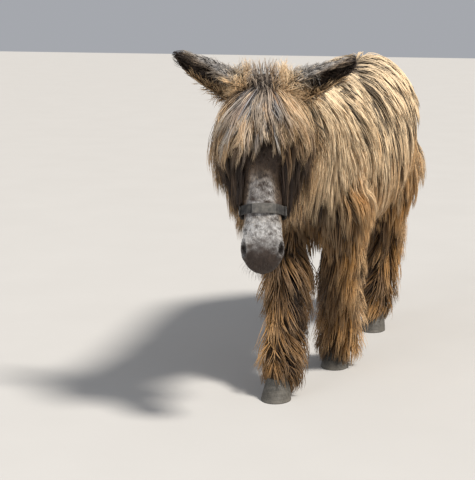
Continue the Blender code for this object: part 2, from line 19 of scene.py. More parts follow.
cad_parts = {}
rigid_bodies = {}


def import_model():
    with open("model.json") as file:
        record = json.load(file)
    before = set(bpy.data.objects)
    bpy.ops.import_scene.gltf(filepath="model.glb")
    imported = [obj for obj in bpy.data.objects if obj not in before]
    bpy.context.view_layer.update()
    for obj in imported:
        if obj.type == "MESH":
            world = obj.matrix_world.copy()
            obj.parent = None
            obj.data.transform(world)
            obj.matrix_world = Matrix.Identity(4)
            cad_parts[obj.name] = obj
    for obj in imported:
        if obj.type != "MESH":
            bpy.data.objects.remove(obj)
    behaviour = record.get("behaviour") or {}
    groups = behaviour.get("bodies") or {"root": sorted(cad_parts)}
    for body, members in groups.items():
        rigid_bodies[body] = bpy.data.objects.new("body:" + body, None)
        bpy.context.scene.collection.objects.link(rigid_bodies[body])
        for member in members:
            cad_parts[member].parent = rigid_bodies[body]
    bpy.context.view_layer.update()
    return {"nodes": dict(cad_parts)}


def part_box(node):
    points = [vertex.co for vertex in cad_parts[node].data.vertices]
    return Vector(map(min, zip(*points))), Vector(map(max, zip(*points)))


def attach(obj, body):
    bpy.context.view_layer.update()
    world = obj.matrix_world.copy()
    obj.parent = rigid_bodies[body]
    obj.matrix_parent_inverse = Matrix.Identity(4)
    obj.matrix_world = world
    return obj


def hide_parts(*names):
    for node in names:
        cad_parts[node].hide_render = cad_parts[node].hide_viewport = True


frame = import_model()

ROOT = "root"
LEFT, RIGHT = 1, -1
SIDE_NAMES = {LEFT: "left", RIGHT: "right"}
UP, AHEAD = Vector((0, 0, 1)), Vector((0, -1, 0))

# %% [markdown]
# ## Where things are
# Two sets of axes make the work easy. The standing axes have the donkey's own middle line at X = 0,
# and the left forehoof fixes them to the solids. The head's axes have X to its left, Y out of the
# face and Z down the face from the poll, and the two eyes fix them.

# %% The standing axes and the head's axes
def middle_of(node):
    low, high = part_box(node)
    return (low + high) / 2


def on_side(side, vector):
    """A place or a way of the left side, or its mirror image on the right."""
    return Vector((side * vector[0], vector[1], vector[2]))


HEAD_DROP = math.radians(68)  # how far the face points below the horizon
HEAD_TURN = math.radians(17)  # the head looks a little to its own left
EYE_MIDDLE = Vector((0, 0.012, 0.215))  # between the eyes, in the head's axes
EYE_RADIUS = 0.021
LEFT_FORE_SOLE = Vector((0.055, -0.27, 0))  # in the standing axes

hoof_low, hoof_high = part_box("hoof_fore_left")
SHIFT = Vector(((hoof_low.x + hoof_high.x) / 2, (hoof_low.y + hoof_high.y) / 2, 0)) - LEFT_FORE_SOLE
HEAD_TURNED = Matrix.Rotation(HEAD_TURN, 4, "Z") @ Matrix.Rotation(math.pi / 2 + HEAD_DROP, 4, "X")
eyes_middle = (middle_of("eye_left") + middle_of("eye_right")) / 2
POLL = eyes_middle - HEAD_TURNED.to_3x3() @ EYE_MIDDLE
HEAD = Matrix.Translation(POLL) @ HEAD_TURNED
print("standing axes at", SHIFT[:], "poll at", POLL[:])

# %% [markdown]
# ## Tools for modelling
# Living forms start as lofts: circles along a line, each with its own width and height, bridged
# and capped. Several lofts that reach into one another become one closed body when they are
# remeshed with voxels. That is how a sculptor blocks out an animal, and it leaves no seams.

# %% Lofts
def turned_to(centre, forward, up):
    """A matrix at centre whose Z runs along forward and whose Y points up, square to it."""
    z_axis = forward.normalized()
    x_axis = up.cross(z_axis).normalized()
    y_axis = z_axis.cross(x_axis)
    return Matrix.Translation(centre) @ Matrix((x_axis, y_axis, z_axis)).transposed().to_4x4()


def path_rings(stations, up):
    """Places of rings square to a path. Each station is its point, half width and half height."""
    points = [Vector(point) for point, _, _ in stations]
    rings = []
    for i, (_, half_width, half_height) in enumerate(stations):
        forward = points[min(i + 1, len(points) - 1)] - points[max(i - 1, 0)]
        rings.append(turned_to(points[i], forward, up) @ Matrix.Diagonal((half_width, half_height, 1, 1)))
    return rings


def squared(value, power):
    """A circle's coordinate, pushed out towards a square's side by a power under 1."""
    return math.copysign(abs(value) ** power, value)


def bridge(bm, rings, sides=0, closed=False):
    """Bridges rings of corners, one to the next, and in a closed row the last to the first. Ends
    with up to the given number of sides are filled."""
    loops = [{edge for vert in ring for edge in vert.link_edges} for ring in rings]
    for first, second in zip(loops, loops[1:] + loops[:1] * closed):
        bmesh.ops.bridge_loops(bm, edges=list(first | second))
    if sides:
        bmesh.ops.holes_fill(bm, edges=[edge for edge in bm.edges if edge.is_boundary], sides=sides)
    bmesh.ops.recalc_face_normals(bm, faces=bm.faces[:])


def add_loft(bm, places, sides=16, squares=None, taper=0.0):
    """Bridges unit circles, each placed by its matrix. A taper makes the lower half of each ring
    narrower than the upper one."""
    rings = []
    for place, square in zip(places, squares or [1.0] * len(places)):
        ring = bmesh.ops.create_circle(bm, segments=sides, radius=1)["verts"]
        for vert in ring:
            x, y = vert.co.x, vert.co.y
            vert.co.x = squared(x, square) * (1 + taper * y)
            vert.co.y = squared(y, square)
        bmesh.ops.transform(bm, matrix=place, verts=ring)
        rings.append(ring)
    bridge(bm, rings, sides)


print("a ring's corner moves from 0.71 to", round(squared(0.71, 0.6), 2), "at a squareness of 0.6")

# %% [markdown]
# ## Pieces and arrays
# A modifier finishes a form at once, and the result stays as the piece's own mesh. Corners are
# also read into arrays, because numpy moves a hundred thousand points in one sum.

# %% Pieces, modifiers and arrays
def linked(name, mesh):
    piece = bpy.data.objects.new(name, mesh)
    bpy.context.scene.collection.objects.link(piece)
    return piece


def new_piece(name, bm):
    mesh = bpy.data.meshes.new(name)
    bm.to_mesh(mesh)
    bm.free()
    return linked(name, mesh)


def modified(piece, kind, **settings):
    """Runs one modifier on the piece and keeps the result as its mesh."""
    modifier = piece.modifiers.new(kind.lower(), kind)
    for key, value in settings.items():
        setattr(modifier, key, value)
    bpy.context.view_layer.update()
    evaluated = piece.evaluated_get(bpy.context.evaluated_depsgraph_get())
    old = piece.data
    piece.data = bpy.data.meshes.new_from_object(evaluated)
    piece.modifiers.clear()
    bpy.data.meshes.remove(old)
    return piece


def remeshed(piece, voxel, rounds):
    """Makes one closed skin of all that a form is made of, and evens it out."""
    modified(piece, "REMESH", mode="VOXEL", voxel_size=voxel)
    return modified(piece, "SMOOTH", factor=0.5, iterations=rounds)


def smooth_shaded(piece):
    piece.data.shade_smooth()
    return piece


def corner_array(mesh):
    places = np.empty(len(mesh.vertices) * 3, np.float32)
    mesh.vertices.foreach_get("co", places)
    return places.reshape(-1, 3).astype(float)


def set_corners(mesh, places):
    mesh.vertices.foreach_set("co", places.astype(np.float32).ravel())
    mesh.update()


def store(mesh, name, *channels):
    """Keeps up to three numbers per corner of the mesh as one attribute."""
    values = np.zeros((len(mesh.vertices), 4), np.float32)
    for column, channel in enumerate(channels):
        values[:, column] = channel
    values[:, 3] = 1
    made = mesh.attributes.new(name, "FLOAT_COLOR", "POINT")
    made.data.foreach_set("color", values.ravel())


def unit(vectors):
    return vectors / np.maximum(np.linalg.norm(vectors, axis=-1, keepdims=True), 1e-9)


def dots(first, second):
    return (first * second).sum(axis=-1)


def in_axes(matrix, points):
    """Points of the scene, told in the axes that the matrix places."""
    inverse = np.array(matrix.inverted())
    return points @ inverse[:3, :3].T + inverse[:3, 3]


def standing(points):
    return points - np.array(SHIFT)


def fade(values, low, high):
    """0 at low, 1 at high, and a soft S between them. High may lie under low."""
    share = np.clip((values - low) / (high - low), 0, 1)
    return share * share * (3 - 2 * share)


def hump(values, middle, reach):
    """1 at the middle and nearly 0 beyond twice the reach."""
    return np.exp(-(((values - middle) / reach) ** 2))


print("fade from 0 to 1:", fade(np.linspace(0, 1, 5), 0, 1))

# %% [markdown]
# ## The body under the coat
# A shaggy coat hides a slim animal. The barrel, neck, legs and dock of the tail are lofts at the
# skin's own size: about 4 cm inside the outline on the back, 6 cm on the sides and far more at
# the hem, where the hair hangs free.

# %% Trunk, neck, legs and tail
BODY_VOXEL = 0.014
TRUNK = (  # along the body, top, bottom, half width
    (-0.63, 1.00, 0.82, 0.07),
    (-0.57, 1.135, 0.72, 0.14),
    (-0.47, 1.252, 0.68, 0.19),
    (-0.36, 1.320, 0.665, 0.22),
    (-0.13, 1.313, 0.66, 0.255),
    (0.10, 1.317, 0.665, 0.265),
    (0.337, 1.358, 0.70, 0.26),
    (0.50, 1.332, 0.76, 0.235),
    (0.62, 1.225, 0.84, 0.175),
    (0.69, 1.05, 0.93, 0.07),
)
NECK = (
    ((0, -0.30, 0.98), 0.17, 0.27),
    ((0, -0.48, 1.04), 0.155, 0.245),
    ((-0.02, -0.68, 1.08), 0.125, 0.20),
    ((-0.038, -0.84, 1.12), 0.105, 0.165),
    ((-0.045, -0.96, 1.165), 0.088, 0.13),
)
DOCK = (
    ((0, 0.60, 1.20), 0.032, 0.032),
    ((0, 0.70, 1.17), 0.030, 0.030),
    ((0.004, 0.775, 1.05), 0.024, 0.024),
    ((0.010, 0.805, 0.90), 0.016, 0.016),
)
FEET = {
    ("fore", LEFT): (0.055, -0.27),
    ("fore", RIGHT): (-0.055, -0.80),
    ("hind", LEFT): (0.075, 0.40),
    ("hind", RIGHT): (-0.095, 0.80),
}
LEG_LINES = {  # fore-and-aft place and height of shoulder or hip, elbow, knee, shin and fetlock
    ("fore", LEFT): ((-0.44, 0.80), (-0.41, 0.62), (-0.355, 0.43), (-0.285, 0.27), (-0.225, 0.145)),
    ("fore", RIGHT): ((-0.43, 0.80), (-0.47, 0.62), (-0.56, 0.43), (-0.64, 0.27), (-0.722, 0.145)),
    ("hind", LEFT): ((0.45, 0.86), (0.47, 0.66), (0.555, 0.49), (0.51, 0.29), (0.445, 0.145)),
    ("hind", RIGHT): ((0.45, 0.86), (0.59, 0.66), (0.78, 0.50), (0.815, 0.29), (0.845, 0.145)),
}
LEG_SPREAD = 0.130
HOOF_TOP, HOOF_TOP_BACK = 0.082, 0.028
LEG_FORMS = {  # height, half width, half depth
    "fore": (
        (0.86, 0.06, 0.10), (0.78, 0.085, 0.14), (0.66, 0.070, 0.100), (0.54, 0.053, 0.066),
        (0.46, 0.047, 0.056), (0.41, 0.047, 0.054), (0.35, 0.033, 0.042), (0.23, 0.030, 0.037),
        (0.16, 0.037, 0.043), (0.115, 0.034, 0.038), (HOOF_TOP, 0.041, 0.046),
    ),
    "hind": (
        (0.98, 0.08, 0.14), (0.86, 0.12, 0.22), (0.72, 0.095, 0.15), (0.60, 0.062, 0.095),
        (0.51, 0.046, 0.068), (0.45, 0.043, 0.062), (0.39, 0.034, 0.044), (0.24, 0.031, 0.039),
        (0.16, 0.038, 0.044), (0.115, 0.035, 0.038), (HOOF_TOP, 0.041, 0.046),
    ),
}


def leg_point(pair, side, height):
    """The middle of a leg at a height, in the standing axes."""
    foot_x, foot_y = FEET[pair, side]
    line = LEG_LINES[pair, side] + ((foot_y + HOOF_TOP_BACK, HOOF_TOP),)
    places, heights = zip(*line[::-1])
    top = line[0][1]
    x = foot_x + (side * LEG_SPREAD - foot_x) * min(height / top, 1)
    return Vector((x, float(np.interp(height, heights, places)), height))


def build_body():
    bm = bmesh.new()
    rings = []
    for along, top, bottom, half_width in TRUNK:
        place = turned_to(Vector((0, along, (top + bottom) / 2)), -AHEAD, UP)
        rings.append(place @ Matrix.Diagonal((half_width, (top - bottom) / 2, 1, 1)))
    add_loft(bm, rings)
    add_loft(bm, path_rings(NECK, UP))
    add_loft(bm, path_rings(DOCK, AHEAD), sides=8)
    for pair, side in FEET:
        stations = [(leg_point(pair, side, z), width, depth) for z, width, depth in LEG_FORMS[pair]]
        add_loft(bm, path_rings(stations, AHEAD))
    bmesh.ops.transform(bm, matrix=Matrix.Translation(SHIFT), verts=bm.verts[:])
    body = new_piece("body_form", bm)
    modified(body, "SUBSURF", levels=2, render_levels=2)
    return remeshed(body, BODY_VOXEL, 4)


body = build_body()
print("body:", len(body.data.polygons), "faces")

# %% [markdown]
# ## The head
# The head gets the most care. Its loft is wide across the brow and narrow at the jaw, and a finer
# voxel size keeps more detail. Then it is modelled with soft presses, each one a place, a reach
# and a push, as a thumb does in clay: brows, cheek ridges, nostril wings and lips.

# %% Head form
HEAD_VOXEL = 0.0046
SKULL = (  # down the face, face line, jaw line, half width, squareness (lower is squarer)
    (-0.062, -0.034, -0.115, 0.045, 1.00),
    (-0.025, 0.002, -0.150, 0.076, 0.95),
    (0.04, 0.026, -0.170, 0.093, 0.85),
    (0.12, 0.034, -0.195, 0.106, 0.72),
    (0.185, 0.036, -0.218, 0.118, 0.60),
    (0.245, 0.026, -0.222, 0.117, 0.62),
    (0.32, 0.008, -0.203, 0.092, 0.76),
    (0.39, -0.004, -0.172, 0.077, 0.78),
    (0.46, -0.012, -0.152, 0.069, 0.80),
    (0.53, -0.015, -0.146, 0.068, 0.82),
    (0.59, -0.012, -0.146, 0.079, 0.84),
    (0.622, -0.014, -0.143, 0.080, 0.86),
    (0.648, -0.021, -0.138, 0.073, 0.90),
    (0.672, -0.033, -0.130, 0.059, 0.95),
    (0.690, -0.048, -0.121, 0.041, 1.00),
    (0.702, -0.066, -0.108, 0.021, 1.00),
)
SKULL_TAPER = 0.16
PRESSES = (  # place, reach and push, for the left half; the right half is its mirror image
    ((0.094, 0.032, 0.175), (0.030, 0.026, 0.040), (0.010, 0.012, 0.0)),  # brow
    ((0.092, 0.024, 0.225), (0.034, 0.030, 0.050), (0.006, 0.007, 0.0)),  # round the eye
    ((0.072, 0.028, 0.105), (0.026, 0.030, 0.032), (-0.004, -0.008, 0.0)),  # hollow over the eye
    ((0.098, -0.050, 0.270), (0.020, 0.017, 0.055), (0.008, 0.0, 0.0)),  # cheek ridge
    ((0.078, -0.058, 0.350), (0.020, 0.016, 0.050), (0.006, 0.0, 0.0)),
    ((0.070, -0.020, 0.380), (0.030, 0.020, 0.080), (-0.008, -0.002, 0.0)),  # hollow beside the nose
    ((0.092, -0.150, 0.200), (0.040, 0.055, 0.070), (0.009, -0.002, 0.0)),  # jowl
    ((0.064, -0.026, 0.606), (0.024, 0.024, 0.032), (0.005, 0.007, 0.002)),  # nostril wing
    ((0.066, -0.068, 0.585), (0.025, 0.022, 0.035), (-0.005, 0.0, 0.0)),  # behind the nostril
    ((0.030, -0.062, 0.665), (0.026, 0.024, 0.024), (0.004, 0.0, 0.006)),  # upper lip
    ((0.000, -0.140, 0.640), (0.030, 0.022, 0.030), (0.0, -0.008, 0.006)),  # chin
    ((0.000, -0.160, 0.420), (0.028, 0.030, 0.090), (0.0, 0.016, 0.0)),  # between the jaw bones
    ((0.000, -0.020, 0.668), (0.008, 0.020, 0.016), (0.0, -0.003, -0.003)),  # between the nostrils
)


def build_head():
    bm = bmesh.new()
    rings = []
    for down, face, jaw, half_width, _ in SKULL:
        middle = Matrix.Translation((0, (face + jaw) / 2, down))
        rings.append(middle @ Matrix.Diagonal((half_width, (face - jaw) / 2, 1, 1)))
    add_loft(bm, rings, sides=20, squares=[row[-1] for row in SKULL], taper=SKULL_TAPER)
    head = new_piece("head_form", bm)
    modified(head, "SUBSURF", levels=2, render_levels=2)
    return remeshed(head, HEAD_VOXEL, 6)


def press(points, place, reach, push):
    distance = (((points - place) / reach) ** 2).sum(axis=1)
    return points + np.exp(-distance)[:, None] * np.array(push)


def pressed_all(points):
    for place, reach, push in PRESSES:
        for side in (LEFT, RIGHT) if place[0] else (LEFT,):
            points = press(points, np.array(on_side(side, place)), reach, on_side(side, push))
    return points


head = build_head()
set_corners(head.data, pressed_all(corner_array(head.data)))
print("head:", len(head.data.polygons), "faces")

# %% [markdown]
# ## Lids, nostrils and lips
# A lid is a thick edge that hugs the ball of the eye. Inside its almond the skin dives behind the
# eyeball. The nostril is a comma pressed deep into the muzzle, and the lips meet in a narrow
# groove. Each is a sum over all corners at once, told in the head's axes.

# %% Forms of lids, nostrils and lips
EYE_SPOT = Vector((0.092, EYE_MIDDLE.y, EYE_MIDDLE.z))  # the left eye, in the head's axes
EYE_AIM = Vector((0.86, 0.50, 0.08)).normalized()
EYE_TILT = Vector((0, 0.45, 1.0))  # the way from the eye's outer corner to the one near the nose
LID_LONG, LID_HIGH, LID_THICK = 0.0172, 0.0128, 0.0030
LID_EDGE = 0.80  # corners of the mesh this far out in the almond move on to its edge
LID_REACH = 0.052
PIT_DEPTH = 0.008  # from the eyeball's front back to the skin behind it
NOSTRIL = Vector((0.066, -0.037, 0.620))
NOSTRIL_AIM = Vector((0.68, 0.69, 0.22)).normalized()
NOSTRIL_TILT = Vector((0.55, 0.10, 1.0))
NOSTRIL_DEPTH, NOSTRIL_LONG, NOSTRIL_WIDE, NOSTRIL_BEND = 0.030, 0.024, 0.0115, 7.0
LIP_LINE, LIP_SLOPE = -0.098, 0.10  # where the lips meet at the front, and how the line rises behind
LIP_FRONT, MOUTH_CORNER = 0.703, 0.625
LIP_GROOVE = (0.0040, 0.012)  # half width and depth
MUZZLE_MIDDLE, MUZZLE_WIDE, MUZZLE_LONG = 0.60, 0.082, 0.104  # the oval that the lips lie on


def seen_along(points, side, centre, aim, tilt):
    """The way a feature faces, and how points lie round it: out, along its tilt and across."""
    aim, along = np.array(on_side(side, aim)), np.array(on_side(side, tilt))
    along -= aim * (along @ aim)
    along /= np.linalg.norm(along)
    away = points - np.array(on_side(side, centre))
    return aim, away @ aim, away @ along, away @ (np.cross(along, aim) * side)


def shape_eye(points, side):
    """The lids of one eye, and the pit behind them."""
    aim, out, wide, high = seen_along(points, side, EYE_SPOT, EYE_AIM, EYE_TILT)
    flat = points - np.array(on_side(side, EYE_SPOT)) - out[:, None] * aim
    almond = (np.abs(wide / LID_LONG) ** 1.7 + np.abs(high / LID_HIGH) ** 1.9) ** 0.55
    facing = (out > -0.012) & (np.hypot(wide, high) < LID_REACH)
    on_rim = facing & (almond > LID_EDGE) & (almond < 1)
    edged = np.where(on_rim[:, None], flat / np.maximum(almond, LID_EDGE)[:, None], flat)
    spread = np.linalg.norm(edged, axis=1)
    on_lid = np.sqrt(np.maximum((EYE_RADIUS + LID_THICK) ** 2 - spread**2, PIT_DEPTH**2))
    lid_share = fade(spread, 0.050, 0.024) * fade(out, -0.030, -0.004)
    depth = out + (on_lid - out) * lid_share
    behind = np.sqrt(np.maximum(EYE_RADIUS**2 - spread**2, 0)) - PIT_DEPTH
    depth = np.where(facing & (almond <= LID_EDGE), behind, depth)
    crease = hump(almond, 1.75, 0.22) * (high > 0) * facing * 0.0025
    return points + edged - flat + (depth - out - crease)[:, None] * aim


def shape_nostril(points, side):
    aim, out, wide, high = seen_along(points, side, NOSTRIL, NOSTRIL_AIM, NOSTRIL_TILT)
    bent = high + NOSTRIL_BEND * wide**2  # a comma, not an oval
    hole = (wide / NOSTRIL_LONG) ** 2 + (bent / NOSTRIL_WIDE) ** 2
    near = np.abs(out) < NOSTRIL_DEPTH
    sink = NOSTRIL_DEPTH * np.exp(-(hole**1.6)) * near
    rim = 0.0035 * hump(np.sqrt(hole), 1.6, 0.45) * near
    return points + (rim - sink)[:, None] * aim


def over_lip_line(faced):
    """How far points in the head's axes lie above the line where the lips meet."""
    return faced[:, 1] - LIP_LINE - LIP_SLOPE * (LIP_FRONT - faced[:, 2])


def shape_lips(points):
    groove = hump(over_lip_line(points), 0, LIP_GROOVE[0])
    groove *= fade(points[:, 2], MOUTH_CORNER - 0.012, MOUTH_CORNER + 0.012)
    inward = unit(np.array((0, LIP_LINE, MUZZLE_MIDDLE)) - points)
    lower_lip = press(points, (0, LIP_LINE - 0.016, 0.686), (0.028, 0.012, 0.02), (0, 0.0, 0.004))
    return lower_lip + groove[:, None] * inward * LIP_GROOVE[1]


print("the left eye's middle moves to", shape_eye(np.array([EYE_SPOT]), LEFT).round(3))

# %% [markdown]
# ## A finer mesh where it shows
# Those features need a finer mesh than the rest, so the faces round them are subdivided first, in
# up to three rounds. The muzzle's soft wings are evened out again when all is pressed in.

# %% Fine features of the head
def lip_place(side, down):
    """A point of the lips' line on the muzzle's side."""
    half_width = MUZZLE_WIDE * math.sqrt(max(1 - ((down - MUZZLE_MIDDLE) / MUZZLE_LONG) ** 2, 0))
    return Vector((side * half_width, LIP_LINE + LIP_SLOPE * (LIP_FRONT - down), down))


def near_places(bm, centres, reach):
    return [v for v in bm.verts if min((v.co - c).length for c in centres) < reach]


def refined(piece, centres, reach):
    """Subdivides the faces near the given places."""
    bm = bmesh.new()
    bm.from_mesh(piece.data)
    near = set(near_places(bm, centres, reach))
    edges = [e for e in bm.edges if e.verts[0] in near and e.verts[1] in near]
    bmesh.ops.subdivide_edges(bm, edges=edges, cuts=1, use_grid_fill=True)
    bmesh.ops.triangulate(bm, faces=[f for f in bm.faces if len(f.verts) > 4])
    bm.to_mesh(piece.data)
    bm.free()


def softened(piece, centres, reach, times):
    """Evens out the mesh near the given places."""
    bm = bmesh.new()
    bm.from_mesh(piece.data)
    near = near_places(bm, centres, reach)
    for _ in range(times):
        bmesh.ops.smooth_vert(bm, verts=near, factor=0.5, use_axis_x=True, use_axis_y=True, use_axis_z=True)
    bm.to_mesh(piece.data)
    bm.free()


eye_fronts = [on_side(side, EYE_SPOT + EYE_AIM * EYE_RADIUS) for side in (LEFT, RIGHT)]
nostrils = [on_side(side, NOSTRIL) for side in (LEFT, RIGHT)]
refined(head, eye_fronts, LID_REACH)
refined(head, eye_fronts + nostrils, 0.034)
refined(head, nostrils, 0.030)
refined(head, [Vector((0, LIP_LINE, 0.69))], 0.058)
lip_rim = np.linspace(MOUTH_CORNER, LIP_FRONT, 9).tolist()
refined(head, [lip_place(side, down) for down in lip_rim for side in (LEFT, RIGHT)], 0.0115)
fine = corner_array(head.data)
for side in (LEFT, RIGHT):
    fine = shape_nostril(shape_eye(fine, side), side)
set_corners(head.data, shape_lips(fine))
softened(head, nostrils, 0.036, 2)
head.data.transform(HEAD)
print("head with lids:", len(head.data.polygons), "faces")

# %% [markdown]
# ## The ears
# An ear is a rolled leaf: a strip that curls round its hollow. Arcs along the ear are bridged, the
# sheet gets its thickness from Solidify, and a fine remesh rounds its edges.

# %% Ears
EAR_LENGTH = 0.32
EAR_VOXEL = 0.0036
EAR_WALL = 0.0065
EAR_OPEN = math.radians(40)  # half of the gap that the leaf leaves open in front
EAR_ROOTS = {side: HEAD @ Vector((side * 0.078, -0.045, 0.03)) for side in (LEFT, RIGHT)}
EAR_AIMS = {LEFT: Vector((0.76, 0.50, 0.39)).normalized(), RIGHT: Vector((-0.87, -0.02, 0.485)).normalized()}
EAR_FACES = {LEFT: Vector((0.62, -0.66, -0.42)), RIGHT: Vector((-0.16, -0.86, -0.48))}
EAR_FORM = (  # share of the length, half width, half depth, how far it lies to the back
    (-0.10, 0.034, 0.034, 0.000),
    (0.06, 0.046, 0.044, 0.006),
    (0.25, 0.057, 0.045, 0.008),
    (0.48, 0.054, 0.040, 0.004),
    (0.70, 0.044, 0.029, 0.000),
    (0.86, 0.029, 0.018, 0.000),
    (0.95, 0.011, 0.008, 0.000),
    (0.97, 0.003, 0.003, 0.000),
)


def build_ear(side):
    bm = bmesh.new()
    aim, facing = EAR_AIMS[side], EAR_FACES[side].normalized()
    arcs = []
    for share, half_width, half_depth, back in EAR_FORM:
        centre = EAR_ROOTS[side] + aim * share * EAR_LENGTH - facing * back
        place = turned_to(centre, aim, facing) @ Matrix.Diagonal((half_width, half_depth, 1, 1))
        ring = bmesh.ops.create_circle(bm, segments=28, radius=1)["verts"]
        gap = [vert for vert in ring if math.atan2(abs(vert.co.x), vert.co.y) < EAR_OPEN]
        arc = [vert for vert in ring if vert not in gap]
        bmesh.ops.delete(bm, geom=gap, context="VERTS")
        bmesh.ops.transform(bm, matrix=place, verts=arc)
        arcs.append(arc)
    bridge(bm, arcs)
    ear = new_piece("ear_form", bm)
    modified(ear, "SUBSURF", levels=2, render_levels=2)
    modified(ear, "SOLIDIFY", thickness=EAR_WALL, offset=0)
    return remeshed(ear, EAR_VOXEL, 3)


ears = {side: build_ear(side) for side in (LEFT, RIGHT)}
print("ears:", [len(ear.data.polygons) for ear in ears.values()])

# %% [markdown]
# ## One skin
# Booleans join the body, head and ears, so that the donkey has one skin, fine
# where it shows and coarse where the coat hides it.

# %% Join the skin
def tree_of(piece):
    mesh = piece.data
    return BVHTree.FromPolygons([v.co for v in mesh.vertices], [p.vertices for p in mesh.polygons])


def join(first, second):
    modified(first, "BOOLEAN", operation="UNION", object=second, solver="MANIFOLD")
    bpy.data.objects.remove(second, do_unlink=True)


part_trees = {"head": tree_of(head), "ear_left": tree_of(ears[LEFT]), "ear_right": tree_of(ears[RIGHT])}
skin = body
join(skin, head)
for ear in ears.values():
    join(skin, ear)
skin.name = skin.data.name = "skin"
modified(skin, "TRIANGULATE")
smooth_shaded(skin)
skin_tree = tree_of(skin)
print("skin:", len(skin.data.polygons), "triangles")

# %% [markdown]
# ## How deep the coat is
# The measured solids end where the hair ends, and the skin lies inside them. So the coat's depth at
# a place on the skin is the free way straight out to the solids. Faces where two solids meet lie
# inside the donkey and don't count.

# %% Coat depth
FLESH_NODES = [
    "trunk", "neck", "head", "tail", "ear_left", "ear_right",
    *(f"{pair}leg_{part}_{word}" for pair in ("fore", "hind") for part in ("upper", "lower")
      for word in SIDE_NAMES.values()),
]
MEETING_GAP = 0.0016
DEEPEST = 0.16
USUAL_DEPTH = 0.03  # where nothing lies outside


def outline_tree():
    corners, faces, facing = [], [], []
    for name in FLESH_NODES:
        mesh = frame["nodes"][name].data
        first = len(corners)
        corners += [v.co.copy() for v in mesh.vertices]
        faces += [[first + i for i in p.vertices] for p in mesh.polygons]
        facing += [(p.center.copy(), p.normal.copy()) for p in mesh.polygons]
    everything = BVHTree.FromPolygons(corners, faces)
    outer = [
        face for face, (centre, normal) in zip(faces, facing)
        if everything.ray_cast(centre + normal * 0.0002, normal, MEETING_GAP)[0] is None
    ]
    return BVHTree.FromPolygons(corners, outer)


outline = outline_tree()


def coat_depths(places, normals):
    rays = zip(places.tolist(), normals.tolist())
    found = [outline.ray_cast(place, normal, DEEPEST)[3] for place, normal in rays]
    return np.array([USUAL_DEPTH if depth is None else depth for depth in found])


some = [skin.data.vertices[i] for i in range(0, 1000, 100)]
some_depths = coat_depths(np.array([v.co for v in some]), np.array([v.normal for v in some]))
print("the coat's depth at ten places, in mm:", (some_depths * 1000).round().tolist())

# %% [markdown]
# ## Where a hair is rooted
# Every lock of hair starts at a random place on the skin, thicker where a region asks for it. The
# regions follow from the forms that the skin was made of. All draws come from seeded generators,
# so the coat grows the same each time.

# %% Roots and regions
skin.data.calc_loop_triangles()
skin_corners = corner_array(skin.data)
skin_normals = np.array([v.normal[:] for v in skin.data.vertices])
skin_faces = np.array([t.vertices[:] for t in skin.data.loop_triangles])
first_corner, second_corner, third_corner = (skin_corners[skin_faces[:, i]] for i in range(3))
face_areas = np.linalg.norm(np.cross(second_corner - first_corner, third_corner - first_corner), axis=1) / 2
face_centres = skin_corners[skin_faces].mean(axis=1)
BELLY = 0.64  # under this height the skin belongs to the legs
ON_PART = 0.0025  # a point this near to the head's or an ear's own form is on it


def region_of(points):
    """A word for each point: which part of the animal it is on."""
    x, y, z = standing(points).T
    words = np.where(y < -0.38, "neck", "trunk").astype("<U12")
    words[(y > 0.66) & (np.abs(x) < 0.05) & (z > 0.84)] = "tail"
    words[(z < BELLY) & (y < 0.1)] = "foreleg"
    words[(z < BELLY) & (y >= 0.1)] = "hindleg"
    near_head = np.nonzero(y < -0.62)[0]
    for name, tree in part_trees.items():
        for i in near_head.tolist():
            if tree.find_nearest(points[i].tolist())[3] < ON_PART:
                words[i] = name
    return words


def roots_on(weights, count, rng):
    """Places and normals of roots, drawn in proportion to area and weight."""
    chances = face_areas * weights
    chosen = rng.choice(len(chances), size=count, p=chances / chances.sum())
    first, second = rng.random(count), rng.random(count)
    over = first + second > 1
    first[over], second[over] = 1 - first[over], 1 - second[over]
    shares = np.stack([1 - first - second, first, second], axis=1)[:, :, None]
    corners = skin_faces[chosen]
    places = (skin_corners[corners] * shares).sum(axis=1)
    return places, unit((skin_normals[corners] * shares).sum(axis=1))


face_regions = region_of(face_centres)
print({word: int((face_regions == word).sum()) for word in np.unique(face_regions)})

# %% [markdown]
# ## How a lock grows
# A lock leaves the skin at a slant, follows the lie of the coat, and sinks under its own weight.
# The skin holds it up: each step is lifted to the height that the lock has in the coat, deep locks
# low and top locks high. Where the body turns under, nothing holds it and it hangs free.

# %% Growing
EYE_SPOTS = np.array([middle_of(f"eye_{word}")[:] for word in SIDE_NAMES.values()])
OVER_LIDS = 0.034  # hair this near to an eye's middle slides over the lids
TOO_HIGH, RESTING = 1.1, 1.5  # shares of its height where a lock is pressed down, and where it hangs
PRESSED = 0.6


def surface_under(points):
    """The nearest places on the skin and the ways out there. Hair slides over closed lids."""
    found = [skin_tree.find_nearest(point)[:2] for point in points.tolist()]
    places, normals = (np.array([hit[i][:] for hit in found]) for i in range(2))
    for spot in EYE_SPOTS:
        on_eye = np.linalg.norm(places - spot, axis=1) < OVER_LIDS
        normals[on_eye] = unit(points[on_eye] - spot)
        places[on_eye] = spot + normals[on_eye] * (EYE_RADIUS + LID_THICK)
    return places, normals


def along_surface(vectors, normals):
    return vectors - normals * dots(vectors, normals)[:, None]


